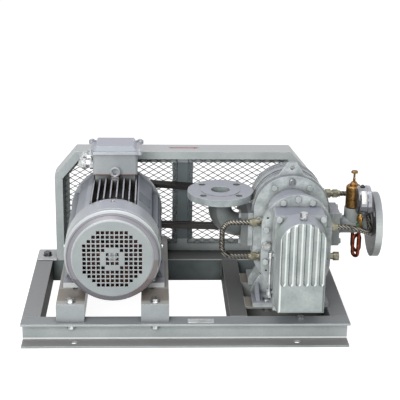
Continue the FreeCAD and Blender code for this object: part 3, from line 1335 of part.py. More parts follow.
def shaft_seals():
    rings = []
    bore = d.rotor_shaft_radius + 0.05
    for y in (front_bearing_y + d.bearing_width, rear_bearing_y - d.seal_width):
        for z in (d.drive_z, driven_z):
            rings.append(tube(point(d.blower_x, y, z), Y, d.seal_radius, bore, d.seal_width))
    shaped("shaft_seals", Part.makeCompound(rings))


def lobe_curve(gap):
    """A three-lobed rotor: outer and inner rolling-circle curves, moved in by a gap."""
    pitch = float(d.pitch_radius)
    small = pitch / 6
    steps = 9
    places = []
    for index in range(6 * steps):
        start = math.radians(60)
        angle = start + 2 * math.pi * (index + 0.5) / (6 * steps)
        sector = int((angle - start) // (math.pi / 3))
        travel = (angle - start) % (math.pi / 3)
        base = start + sector * math.pi / 3
        touch = Vector(pitch * math.cos(angle), pitch * math.sin(angle), 0)
        if sector % 2 == 0:
            centre, roll = pitch + small, travel * (pitch + small) / small
            x = centre * math.cos(travel) - small * math.cos(roll)
            y = centre * math.sin(travel) - small * math.sin(roll)
            outward = 1
        else:
            centre, roll = pitch - small, travel * (pitch - small) / small
            x = centre * math.cos(travel) + small * math.cos(roll)
            y = centre * math.sin(travel) - small * math.sin(roll)
            outward = -1
        place = Vector(x * math.cos(base) - y * math.sin(base), x * math.sin(base) + y * math.cos(base), 0)
        normal = (place - touch).normalize() * outward
        places.append(place - normal * gap)
    curve = Part.BSplineCurve()
    curve.interpolate(places, PeriodicFlag=True)
    return Part.Wire(curve.toShape())


def rotors():
    lobe = Part.Face(lobe_curve(float(d.rotor_gap)))
    start = casing_front_y + d.side_gap
    length = d.chamber_length - 2 * d.side_gap
    solid = lobe.extrude(Vector(0, 0, float(length)))
    solid.rotate(Vector(0, 0, 0), X, 90)
    solid.rotate(Vector(0, 0, 0), Z, 180)
    radius = d.rotor_shaft_radius
    front_end = d.gear_rear_y - d.gear_width - 20
    for label, z, rear_end in (("drive_rotor", d.drive_z, d.shaft_end_y), ("driven_rotor", driven_z, rear_plate_end_y - 1)):
        middle = solid.copy()
        middle.translate(point(d.blower_x, start, z) - Vector(0, middle.BoundBox.YMin, 0))
        shaft = rod(point(d.blower_x, front_end, z), Y, radius, rear_bearing_y + d.bearing_width - front_end)
        tail_start = rear_bearing_y + d.bearing_width
        tail = rod(point(d.blower_x, tail_start, z), Y, d.motor_shaft_radius, rear_end - tail_start)
        shaped(label, middle.fuse([shaft, tail]))


def gear_wire(turned):
    """The outline of a spur timing gear with rounded flanks, one tooth after another."""
    module, teeth = float(d.gear_module), int(float(d.gear_teeth))
    pitch = float(d.pitch_radius)
    base = pitch * math.cos(math.radians(20))
    tip, root = pitch + module, pitch - 1.2 * module
    half_tooth = math.pi / (2 * teeth) - float(d.backlash) / 2 / pitch

    def spread(radius):
        roll = math.sqrt(max((radius / base) ** 2 - 1, 0))
        return roll - math.atan(roll)

    def half_angle(radius):
        return half_tooth + spread(pitch) - spread(max(radius, base))

    def at(radius, angle):
        return Vector(radius * math.cos(angle), radius * math.sin(angle), 0)

    edges = []
    for index in range(teeth):
        middle = turned + 2 * math.pi * index / teeth
        following = middle + 2 * math.pi / teeth
        inner = half_angle(base)
        edges.append(Part.makeLine(at(root, middle - inner), at(base, middle - inner)))
        flank = Part.Arc(at(base, middle - inner), at(pitch, middle - half_angle(pitch)), at(tip, middle - half_angle(tip)))
        edges.append(flank.toShape())
        edges.append(Part.Arc(at(tip, middle - half_angle(tip)), at(tip, middle), at(tip, middle + half_angle(tip))).toShape())
        flank = Part.Arc(at(tip, middle + half_angle(tip)), at(pitch, middle + half_angle(pitch)), at(base, middle + inner))
        edges.append(flank.toShape())
        edges.append(Part.makeLine(at(base, middle + inner), at(root, middle + inner)))
        valley = (middle + inner + following - inner) / 2
        edges.append(Part.Arc(at(root, middle + inner), at(root, valley), at(root, following - inner)).toShape())
    return Part.Wire(edges)


def timing_gears():
    teeth = float(d.gear_teeth)
    start = d.gear_rear_y - d.gear_width
    for label, z, turned in (("drive_gear", d.drive_z, 0.0), ("driven_gear", driven_z, math.pi / teeth)):
        solid = Part.Face(gear_wire(math.pi / 2 + turned)).extrude(Vector(0, 0, float(d.gear_width)))
        solid.rotate(Vector(0, 0, 0), X, 90)
        solid.translate(Vector(0, -solid.BoundBox.YMin, 0))
        solid.translate(point(d.blower_x, start, z))
        place = point(d.blower_x, start - 1, z)
        solid = solid.cut(rod(place, Y, d.rotor_shaft_radius + d.pulley_fit, d.gear_width + 2))
        solid = solid.cut(tube(place, Y, d.pitch_radius - 12, d.rotor_shaft_radius + 10, 7))
        shaped(label, solid)
    slinger = new_body("oil_slinger", d.blower_x, 0, d.drive_z)
    bore = d.rotor_shaft_radius + d.pulley_fit
    start = start - 12
    turn(slinger, polygon(
        (start, bore), (start, bore + 7), (start + 4, bore + 9), (start + 4, d.pitch_radius + 2),
        (start + 6, d.pitch_radius + 2), (start + 6, bore + 9), (start + 10, bore + 7), (start + 10, bore)))


def gear_case():
    """The oval housing of the timing gears, with bosses for the four hose ports."""
    body = new_body("gear_case", d.blower_x, 0, 0)
    length = d.plate_front_y - d.case_front_y
    pad(body, "XZ_Plane", d.case_front_y, length, oval(0, d.drive_z, driven_z, d.case_radius))
    for left_side, z in ((True, d.hose_high_left), (True, d.hose_low), (False, d.hose_high_right), (False, d.hose_low)):
        start = -d.case_radius - 6 if left_side else d.case_radius - 4
        pad(body, "YZ_Plane", start, 10, circle(d.hose_y, z, d.port_boss))
    pocket(body, "XZ_Plane", d.case_front_y - 1, length + 2,
           oval(0, d.drive_z, driven_z, d.case_radius - d.case_wall))


cover_screws = [(0, driven_z + 74), (-35, driven_z + 65), (35, driven_z + 65), (-73.5, driven_z - 3), (73.5, driven_z - 3),
                (-73.5, d.cover_low_z + 2), (73.5, d.cover_low_z + 2)]
cover_dowels = [(-70.5, driven_z + 26.5), (70.5, driven_z + 26.5), (-70.5, d.cover_low_z - 21.5)]
oil_box_screws = [(-51.5, d.oil_box_high - 7), (51.5, d.oil_box_high - 7), (-51.5, d.oil_box_low + 8),
                  (51.5, d.oil_box_low + 8)]


def gear_case_cover():
    """The round-ended plate in front of the gears, cast in one with the square oil box."""
    body = new_body("gear_case_cover", d.blower_x, 0, 0)
    pad(body, "XZ_Plane", cover_front_y, d.cover_plate, oval(0, d.cover_low_z, driven_z, d.cover_radius))
    half, low, high = d.oil_box_half, d.oil_box_low, d.oil_box_high
    pad(body, "XZ_Plane", oil_box_front_y, d.oil_box_depth + 1, rectangle(-half, low, half, high))
    rounded(body, 6, lambda edge: along(edge, Y) and float(edge.Length) > 50)
    wall = d.oil_box_wall
    pocket(body, "XZ_Plane", oil_box_front_y - 1, d.oil_box_depth - 2,
           rectangle(-half + wall, low + wall, half - wall, high - 2 * wall))
    pocket(body, "XZ_Plane", cover_front_y - 1, d.screw_depth + 1,
           *[circle(x, z, screw_hole) for x, z in cover_screws])
    pocket(body, "XZ_Plane", cover_front_y - 1, 7, *[circle(x, z, 2.6) for x, z in cover_dowels])
    pocket(body, "XZ_Plane", oil_box_front_y - 1, d.screw_depth + 1,
           *[circle(x, z, screw_hole) for x, z in oil_box_screws])


def fluted_cover():
    """The arched cover: a drafted body on a flange, with six flutes sunk in its face."""
    body = new_body("fluted_cover", d.blower_x, 0, 0)
    half, low, high = d.oil_box_half, d.oil_box_low, d.oil_box_high
    pad(body, "XZ_Plane", fin_flange_y, d.fin_cover_flange, rectangle(-half, low, half, high))
    loft(body, "XZ_Plane", fin_flange_y + 1, arch(0, d.fin_cover_low - 4, fin_cover_spring, d.fin_cover_base),
         fin_face_y, arch(0, d.fin_cover_low, fin_cover_spring, d.fin_cover_face))
    rounded(body, d.fin_cover_edge, lambda edge: flat_at(edge, "y", float(fin_face_y)))
    flutes = []
    half_flute = d.flute_width / 2
    top = fin_cover_spring + d.fin_cover_base
    for index in range(6):
        flutes.append(oval((index - 2.5) * d.flute_pitch, d.flute_low + half_flute, top, half_flute))
    pocket(body, "XZ_Plane", fin_face_y - 1, d.flute_depth + 1, *flutes)
    floor = float(fin_face_y + d.flute_depth)
    rounded(body, d.flute_depth - 1, lambda edge: flat_at(edge, "y", floor) and flute_side(edge))
    holes = [circle(x, z, screw_hole) for x, z in oil_box_screws]
    pocket(body, "XZ_Plane", fin_flange_y - 1, d.fin_cover_flange + 1.5, *holes)
    pocket(body, "XZ_Plane", fin_flange_y - d.fin_cover_depth + 20, d.fin_cover_depth,
           arch(0, d.fin_cover_low + 12, fin_cover_spring, d.fin_cover_face - 12))
    plug_y = fin_flange_y - d.plug_setback
    pocket(body, "XY_Plane", fin_cover_spring + 30, 60, circle(0, plug_y, 6.2))


def flute_side(edge):
    """True for the straight sides and the round lower end of a flute."""
    if isinstance(edge.Curve, Part.Circle):
        return abs(edge.Curve.Radius - float(d.flute_width / 2)) < 0.01
    return along(edge, Z)


def blower_small_parts():
    """Screws, plugs, oil glass and the pipe nipples of the blower."""
    screws = [screw(point(d.blower_x + x, cover_front_y, z), Y) for x, z in cover_screws]
    shaped("gear_case_screws", Part.makeCompound(screws))
    screws = [screw(point(d.blower_x + x, d.plate_front_y, z), Y) for x, z in front_plate_screws]
    shaped("end_plate_screws", Part.makeCompound(screws))
    screws = []
    for x, z in oil_box_screws:
        seat = point(d.blower_x + x, fin_flange_y, z)
        head = hex_prism(seat - Y * float(d.screw_head), Y, d.screw_across, d.screw_head)
        screws.append(head.fuse(rod(seat, Y, d.screw_radius, d.fin_cover_flange + d.screw_depth - 1)))
    shaped("fluted_cover_screws", Part.makeCompound(screws))
    screws = []
    for x, z in rear_cover_screws:
        seat = point(d.blower_x + x, rear_plate_end_y + d.rear_cover_depth, z)
        head = hex_prism(seat + Y * float(d.screw_head), -Y, d.screw_across, d.screw_head)
        screws.append(head.fuse(rod(seat, -Y, d.screw_radius, d.rear_cover_depth + d.screw_depth - 1)))
    shaped("rear_cover_screws", Part.makeCompound(screws))
    flange_face = d.port_reach + d.port_flange
    screws = []
    for side in (-1, 1):
        for u, w in port_screws:
            seat = point(d.blower_x + side * flange_face, port_y + u, port_z + w)
            inward = X * -side
            head = hex_prism(seat - inward * float(d.screw_head), inward, d.screw_across, d.screw_head)
            screws.append(head.fuse(rod(seat, inward, d.screw_radius, d.port_flange + d.port_plate - 5)))
    shaped("port_screws", Part.makeCompound(screws))
    plug_y = fin_flange_y - d.plug_setback
    crown = fin_cover_spring + d.fin_cover_base
    seat = point(d.blower_x, plug_y, crown)
    plug = rod(seat - Z * 12, Z, 6, 13).fuse([rod(seat, Z, 8.5, 3), hex_prism(seat + Z * 3, Z, 15, 12)])
    shaped("filler_plug", plug)
    seat = point(d.blower_x, d.plate_front_y, driven_z + d.plate_plug_rise)
    ring = rod(seat - Y * 2.5, Y, 9, 2.5).fuse([rod(seat - Y * 4, Y, 5.5, 2), rod(seat, Y, 4.8, 6)])
    shaped("breather_plug", ring)
    seat = point(d.blower_x + d.sight_x, cover_front_y, d.sight_z)
    bezel = tube(seat - Y * 5, Y, 11.5, 8, 5)
    shaped("oil_glass_bezel", bezel)
    shaped("oil_glass_lens", rod(seat - Y * 3, Y, 7.95, 3))
    side = d.blower_x - d.oil_box_half
    pipe_y = oil_box_front_y + 12
    low = point(side, pipe_y, d.level_pipe_low)
    high = point(side, pipe_y, d.level_pipe_high)
    bottom = low - X * 7
    pipe = rod(bottom, Z, 3, d.level_pipe_high - d.level_pipe_low)
    pipe = pipe.fuse([rod(low, -X, 4.5, 7), rod(bottom - Z * 8, Z, 6.4, 16), hex_prism(bottom - Z * 13, Z, 11, 6),
                      rod(high, -X, 4.5, 7), rod(high - X * 7 - Z * 7, Z, 6, 14)])
    shaped("oil_level_pipe", pipe)


# The pipes.
def elbow():
    """The inlet: a round flange facing up, a bend and a square flange on the casing."""
    bend = d.elbow_bend
    body = new_body("inlet_elbow", d.inlet_x + bend, port_y, port_z + bend)
    face = d.blower_x - d.port_reach - d.inlet_x - bend
    top = d.inlet_top - port_z - bend
    thick = d.flange_thickness
    half, tall = d.port_width / 2, d.port_height / 2
    pad(body, "XY_Plane", top - thick, thick - d.raised_face, circle(-bend, 0, d.flange_radius))
    pad(body, "XY_Plane", 0, top, circle(-bend, 0, d.elbow_radius))
    pad(body, "XY_Plane", top - thick, thick, circle(-bend, 0, d.flange_face))
    pad(body, "YZ_Plane", face - d.port_flange, d.port_flange, rectangle(-half, -bend - tall, half, -bend + tall))
    pad(body, "YZ_Plane", 0, face, circle(0, -bend, d.elbow_radius))
    for kind, radius in (("Revolution", d.elbow_radius), ("Groove", d.pipe_bore)):
        sketch = new_sketch(body, "XY_Plane", 0, [circle(-bend, 0, radius)])
        feature = body.newObject("PartDesign::" + kind, "inlet_elbow_" + kind)
        feature.Profile = sketch
        feature.ReferenceAxis = (sketch, ["V_Axis"])
        feature.Angle = 90
        feature.Reversed = True
        doc.recompute()
    pocket(body, "XY_Plane", 0, top + 1, circle(-bend, 0, d.pipe_bore))
    pocket(body, "YZ_Plane", 0, face + 1, circle(0, -bend, d.pipe_bore))
    holes = [circle(u, w - bend, screw_hole) for u, w in port_screws]
    pocket(body, "YZ_Plane", face - d.port_flange - 1, d.port_flange + 2, *holes)
    reach = d.flange_circle * math.sqrt(0.5)
    holes = [circle(u * reach - bend, w * reach, d.flange_hole) for u in (-1, 1) for w in (-1, 1)]
    pocket(body, "XY_Plane", top - thick - 1, thick + 2, *holes)


def discharge():
    """The outlet: a square flange, a pipe with the relief valve's boss, and a round flange."""
    face = d.blower_x + d.port_reach
    end = d.discharge_x
    thick = d.flange_thickness
    body = new_body("discharge_pipe", 0, port_y, port_z)
    turn(body, polygon(
        (face, d.discharge_bore), (face, d.pipe_radius), (face + d.port_flange + 6, d.pipe_radius),
        (face + d.port_flange + 10, d.pipe_radius - 1.5), (end - thick - 22, d.pipe_radius - 1.5),
        (end - thick - 8, d.pipe_radius + 6), (end - thick, d.pipe_radius + 8), (end - thick, d.flange_radius),
        (end - 1.5, d.flange_radius), (end - 1.5, d.flange_face), (end, d.flange_face), (end, d.discharge_bore)),
         plane="XY_Plane")
    half, tall = d.port_width / 2, d.port_height / 2
    pad(body, "YZ_Plane", face, d.port_flange, rectangle(-half, -tall, half, tall))
    pad(body, "XY_Plane", 12, d.valve_seat_z - port_z - 12, circle(d.valve_x, 0, d.valve_boss_radius))
    pocket(body, "YZ_Plane", face - 1, end - face + 2, circle(0, 0, d.discharge_bore))
    pocket(body, "XY_Plane", 0, d.valve_seat_z - port_z + 1, circle(d.valve_x, 0, 8))
    holes = [circle(u, w, screw_hole) for u, w in port_screws]
    pocket(body, "YZ_Plane", face - 1, d.port_flange + 2, *holes)
    reach = d.flange_circle * math.sqrt(0.5)
    holes = [circle(u * reach, w * reach, d.flange_hole) for u in (-1, 1) for w in (-1, 1)]
    pocket(body, "YZ_Plane", end - thick - 1, thick + 2, *holes)


def relief_valve():
    """A brass safety valve: a turned body with a hexagonal cap and a stem that lifts."""
    seat = d.valve_seat_z
    top = seat + d.valve_height
    radius = d.valve_radius
    stem = d.valve_stem_radius
    body = new_body("relief_valve_body", d.valve_x, port_y, 0)
    turn(body, polygon(
        (stem + 4.5, seat), (radius - 2, seat), (radius, seat + 3), (radius, top - 4), (radius - 3, top),
        (stem + 6.5, top), (stem + 6.5, top + 4), (stem + 3, top + 9), (stem + 0.3, top + 9),
        (stem + 0.3, top - 2), (stem + 4.5, top - 2)), plane="XZ_Plane", axis="V_Axis")
    lifter = new_body("relief_valve_stem", d.valve_x, port_y, 0)
    knob = d.valve_stem_top
    turn(lifter, polygon(
        (0, seat + 6), (stem + 3.5, seat + 6), (stem + 3.5, seat + 11), (stem, seat + 13), (stem, knob - 20),
        (stem - 0.8, knob - 18), (stem - 0.8, knob - 7), (d.valve_knob_radius, knob - 5.5),
        (d.valve_knob_radius, knob - 1.5), (d.valve_knob_radius - 1.5, knob), (0, knob)),
         plane="XZ_Plane", axis="V_Axis")


def gauge():
    """A pressure gauge facing right, with its cock and the copper siphon below."""
    back = d.gauge_x
    front = back + d.gauge_depth
    radius = d.gauge_radius
    x0, y0, z0 = d.gauge_x, d.gauge_y, d.gauge_z
    body = new_body("gauge_case", 0, y0, z0)
    turn(body, polygon(
        (back, 0), (back, radius - 5), (back + 3, radius - 2), (front - 9, radius - 2), (front - 9, radius),
        (front - 1, radius), (front, radius - 1), (front, radius - 5), (front - 3, radius - 5),
        (front - 3, radius - 4), (front - 8, radius - 4), (front - 8, 4), (front - 12, 4), (front - 12, 0)),
         plane="XY_Plane")
    stem_low = d.cock_z + 9
    reach = z0 - stem_low
    pad(body, "XY_Plane", -reach, reach - radius + 6, circle(d.gauge_stem_x, 0, 5.5))
    pad(body, "XY_Plane", -reach + 3, 12, circle(d.gauge_stem_x, 0, 8))
    dial = new_body("gauge_dial", 0, y0, z0)
    turn(dial, polygon((front - 8, 3.2), (front - 8, radius - 4.3), (front - 7.2, radius - 4.3), (front - 7.2, 3.2)),
         plane="XY_Plane")
    lens = new_body("gauge_lens", 0, y0, z0)
    turn(lens, polygon((front - 3, 0), (front - 3, radius - 5.1), (front - 1, radius - 5.1), (front - 1, 0)),
         plane="XY_Plane")
    needle = Part.makePolygon([Vector(0, -2.2, -9), Vector(0, 2.2, -9), Vector(0, 0.5, 25), Vector(0, -0.5, 25),
                               Vector(0, -2.2, -9)])
    needle = Part.Face(needle).extrude(Vector(1, 0, 0))
    needle = needle.fuse([rod(Vector(0, 0, 0), X, 4, 2), rod(Vector(-5, 0, 0), X, 1.5, 6)])
    needle.rotate(Vector(0, 0, 0), X, 135)
    needle.translate(point(front - 6.6, y0, z0))
    shaped("gauge_pointer", needle)
    centre = point(d.gauge_stem_x, y0, d.cock_z)
    cock = rod(centre - Z * 9, Z, 6.5, 18).fuse([rod(centre + Y * 10, -Y, 7.5, 20), hex_prism(centre - Z * 13, Z, 12, 5)])
    spindle_hole = rod(centre - Y * 11, Y, 3.05, 8)
    shaped("gauge_cock", cock.cut(spindle_hole))
    spindle = rod(centre - Y * 13, Y, 3, 10)
    lever = block(float(d.gauge_stem_x) - 3, centre.y - 16, centre.z - 3, float(d.gauge_stem_x) + 3, centre.y - 12, centre.z + 17)
    shaped("gauge_cock_lever", spindle.fuse([lever, rod(centre - Y * 16, Y, 5.5, 4)]))
    low, high = float(d.siphon_low), float(d.siphon_high)
    under = float(port_z) - float(d.pipe_radius) + 1.3
    y_end = float(port_y)
    legs = [(float(d.gauge_stem_x), float(y0)), (424, -78), (444, -62), (430, y_end)]
    places = [Vector(legs[0][0], legs[0][1], centre.z - 13)]
    bends = []
    for index, (level, (x, y), (next_x, next_y)) in enumerate(zip((low, high - 4, low), legs[:-1], legs[1:])):
        places += [Vector(x, y, level), Vector(next_x, next_y, level)]
        bend = math.hypot(next_x - x, next_y - y) / 2 - 0.01
        bends += [bend, bend]
    places.append(Vector(legs[-1][0], legs[-1][1], under))
    shaped("gauge_siphon", bent_tube(places, bends, d.siphon_radius))


def hoses():
    """The braided oil hoses with their nipples and nuts."""
    y = d.hose_y
    left_face = d.blower_x - d.case_radius - 6
    right_face = d.blower_x + d.case_radius + 6
    rear_face = d.blower_x + d.end_plate_radius + 3
    fittings = []

    def fitting(place, out):
        base = rod(place, out, 7.5, 16)
        first = hex_prism(place + out * 3, out, d.nut_across, d.nut_length)
        second = hex_prism(place + out * 22, out, d.nut_across - 2, d.nut_length)
        neck = rod(place + out * 15, out, 8.5, 26)
        fittings.append(base.fuse([first, neck, second]))
        return place + out * 41

    upper = fitting(point(left_face, y, d.hose_high_left), -X)
    lower = fitting(point(left_face, y, d.hose_low), -X)
    front = fitting(point(right_face, y, d.hose_high_right), X)
    rear = fitting(point(rear_face, d.hose_rear_y, d.hose_rear_z), X)
    stub = point(right_face, y, d.hose_low)
    cap = rod(stub, X, 8, 46).fuse([hex_prism(stub + X * 6, X, d.nut_across, 10), rod(stub + X * 34, X, 11, 14)])
    fittings.append(cap)
    shaped("hose_fittings", Part.makeCompound(fittings))
    loop = [upper, Vector(float(d.hose_loop_x), upper.y, upper.z), Vector(float(d.hose_loop_x), lower.y, lower.z), lower]
    shaped("oil_hose_left", bent_tube(loop, [d.hose_bend, d.hose_bend], d.hose_radius))
    route = [front, front + X * 27, Vector(436, -129, 262), Vector(460, -108, 246), Vector(463, -72, 264),
             Vector(462, -34.5, 290), Vector(456, 2, 302), rear + X * 28, rear]
    shaped("oil_hose_right", bent_tube(route, widest_bends(route), d.hose_radius))


def gathered(label, *names):
    """One sub-part made of several like pieces."""
    pieces = [item for item in PARTS if item.Label in names]
    if len(pieces) != len(names):
        raise RuntimeError("pieces of %s are missing" % label)
    whole = doc.addObject("Part::Compound", label)
    whole.Label = label
    whole.Links = pieces
    for piece in pieces:
        PARTS.remove(piece)
    PARTS.append(whole)


def gather_like_pieces():
    gathered("skid_end_members", "skid_left_member", "skid_right_member")
    gathered("blower_supports", "blower_front_support", "blower_rear_support")
    gathered("motor_rails", "motor_rail_left", "motor_rail_right")
    gathered("skid_bolts", "rail_hold_down_bolts", "motor_foot_bolts", "blower_foot_bolts", "guard_bolts")
    gathered("motor_screws", "cowl_screws", "terminal_lid_screws")
    gathered("drive_belts", "drive_belt_front", "drive_belt_rear")
    gathered("blower_bearings", "blower_front_bearings", "blower_rear_bearings")
    gathered("guard_mesh", "guard_mesh_left", "guard_mesh_right")
    gathered("blower_screws", "gear_case_screws", "end_plate_screws", "fluted_cover_screws", "rear_cover_screws",
             "port_screws")
    gathered("blower_plugs", "filler_plug", "breather_plug", "oil_level_pipe")
    gathered("oil_hoses", "oil_hose_left", "oil_hose_right")
    gathered("blank_plates", "motor_data_plate", "rail_data_plate")


def write_parts():
    doc.recompute()
    for item in doc.Objects:
        if "Invalid" in item.State or "Error" in item.State:
            raise RuntimeError("%s did not build: %s" % (item.Name, item.State))
    os.makedirs("parts", exist_ok=True)
    for item in PARTS:
        shape = item.Shape
        if shape.isNull() or not shape.isValid() or not shape.Solids:
            raise RuntimeError("%s has no sound solid" % item.Label)
        shape.exportStep("parts/%s.step" % item.Label)
    print("%d parts" % len(PARTS))


skid()
motor_rail("motor_rail_left", -1)
motor_rail("motor_rail_right", 1)
skid_bolts()
motor_frame()
lifting_eye()
stator()
shields()
fan_cowl()
motor_turning_parts()
bearings()
terminal_box()
data_plate()
belts()
pulleys()
guard()
strut()
mesh()
front_end_plate()
casing()
rear_end_plate()
shaft_seals()
rotors()
timing_gears()
gear_case()
gear_case_cover()
fluted_cover()
blower_small_parts()
elbow()
discharge()
relief_valve()
gauge()
hoses()
gather_like_pieces()
write_parts()
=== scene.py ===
# %% [markdown]
# A belt-driven lobe blower stands on a skid of painted channels: a motor at the left, the blower at the
# right, and a belt guard of folded sheet and expanded mesh behind them. The CAD frame already holds the
# solid pieces, so this lesson spends its time on what the eye reads next: paint, castings, plating,
# rubber and the mesh.

# %% Load the frame
import bpy
import bmesh
import math
from mathutils import Matrix, Vector


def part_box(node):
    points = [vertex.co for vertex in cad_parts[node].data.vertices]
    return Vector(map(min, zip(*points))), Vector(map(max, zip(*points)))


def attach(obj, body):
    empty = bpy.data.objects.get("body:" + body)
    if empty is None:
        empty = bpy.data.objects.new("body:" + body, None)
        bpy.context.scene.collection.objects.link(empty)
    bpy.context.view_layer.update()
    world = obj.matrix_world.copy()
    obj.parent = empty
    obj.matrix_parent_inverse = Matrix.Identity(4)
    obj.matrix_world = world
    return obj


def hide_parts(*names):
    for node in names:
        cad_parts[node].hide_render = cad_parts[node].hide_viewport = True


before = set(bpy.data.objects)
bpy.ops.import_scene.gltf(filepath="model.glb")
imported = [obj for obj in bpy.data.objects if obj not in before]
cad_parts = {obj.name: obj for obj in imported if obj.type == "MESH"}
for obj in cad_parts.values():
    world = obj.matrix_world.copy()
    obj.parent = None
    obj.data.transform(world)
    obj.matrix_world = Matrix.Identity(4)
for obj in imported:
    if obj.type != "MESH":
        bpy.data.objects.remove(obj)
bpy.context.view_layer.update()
MM = 0.001

# %% [markdown]
# The camera stands where the photographer's did. A long lens keeps the skid's sides nearly parallel. Its
# place and tilt were worked out once from the skid, the guard and both round flanges, and are written here.

# %% Camera
YAW, PITCH, ROLL = math.radians(2.532), math.radians(19.054), math.radians(0.886)
CAMERA_PLACE = (-0.0804, -2.7026, 1.2311)
FOCAL_LENGTH_MM, SENSOR_MM = 100.8, 36
forward = Vector((math.sin(YAW) * math.cos(PITCH), math.cos(YAW) * math.cos(PITCH), -math.sin(PITCH)))
level = forward.cross(Vector((0, 0, 1))).normalized()
upright = level.cross(forward)
right = level * math.cos(ROLL) + upright * math.sin(ROLL)
up = upright * math.cos(ROLL) - level * math.sin(ROLL)
camera = bpy.data.objects.new("camera", bpy.data.cameras.new("camera"))
camera.data.lens = FOCAL_LENGTH_MM
camera.data.sensor_width = SENSOR_MM
camera.data.clip_end = 50
camera.matrix_world = Matrix((
    (right.x, up.x, -forward.x, CAMERA_PLACE[0]),
    (right.y, up.y, -forward.y, CAMERA_PLACE[1]),
    (right.z, up.z, -forward.z, CAMERA_PLACE[2]),
    (0, 0, 0, 1)))
bpy.context.collection.objects.link(camera)
bpy.context.scene.camera = camera
print("camera at", CAMERA_PLACE, "with a lens of", FOCAL_LENGTH_MM, "mm")

# %% [markdown]
# Paint colours are easier to judge as the hex values of a colour picker, but a shader works with linear
# light. One function turns the one into the other. A second function adds any node to a material with
# its settings and its links, so that each finish below reads as a short recipe.

# %% Colour and node helpers
def linear(hex_colour):
    """A hex value as linear light, fully opaque."""
    values = [int(hex_colour[i:i + 2], 16) / 255 for i in (1, 3, 5)]
    return [v / 12.92 if v <= 0.04045 else ((v + 0.055) / 1.055) ** 2.4 for v in values] + [1.0]


def node(tree, kind, inputs=None, links=None, **settings):
    """Adds a node; links maps an input to the (node, output) that feeds it."""
    made = tree.nodes.new(kind)
    for name, value in settings.items():
        setattr(made, name, value)
    for name, value in (inputs or {}).items():
        made.inputs[name].default_value = value
    for name, (source, output) in (links or {}).items():
        tree.links.new(source.outputs[output], made.inputs[name])
    return made


def new_finish(name, **shader_values):
    """A material with one main shader, whose plain values are set on its own sockets."""
    material = bpy.data.materials.new(name)
    material.use_nodes = True
    tree = material.node_tree
    shader = tree.nodes["Principled BSDF"]
    for socket, value in shader_values.items():
        shader.inputs[socket.replace("_", " ")].default_value = value
    return material, tree, shader


def per_mm(size):
    """Noise scale that gives features about this many millimetres wide."""
    return 1000.0 / size


# A Mix node for colours takes its factor in socket 0 and its colours in 6 and 7, and gives them in 2.
COLOURS = {"data_type": "RGBA"}
FIRST, SECOND, MIXED = 6, 7, 2
print("white is", linear("#FFFFFF"))

# %% [markdown]
# Nearly everything wears the same aluminium-flake enamel, sprayed over cast iron, rolled channel and
# folded sheet. Fine flakes under dust look like a pale, soft grey and hardly like metal, so the metallic
# share is small. What differs is the metal under the paint: sand casting is grainy, sheet is smooth and
# slightly wavy. Ambient occlusion finds where two surfaces meet, and painted shade with some grime
# darkens those corners. Sprayed edges round off and catch the light, which a bevel in the shader shows,
# and a painted highlight brightens them further. Faces that look up get painted light, a tone of their own.

# %% Aluminium-flake enamel
SPECK_MM, SPECK_COLOUR = 6, "#70757A"
PAINTED_EDGE = 1.3 * MM


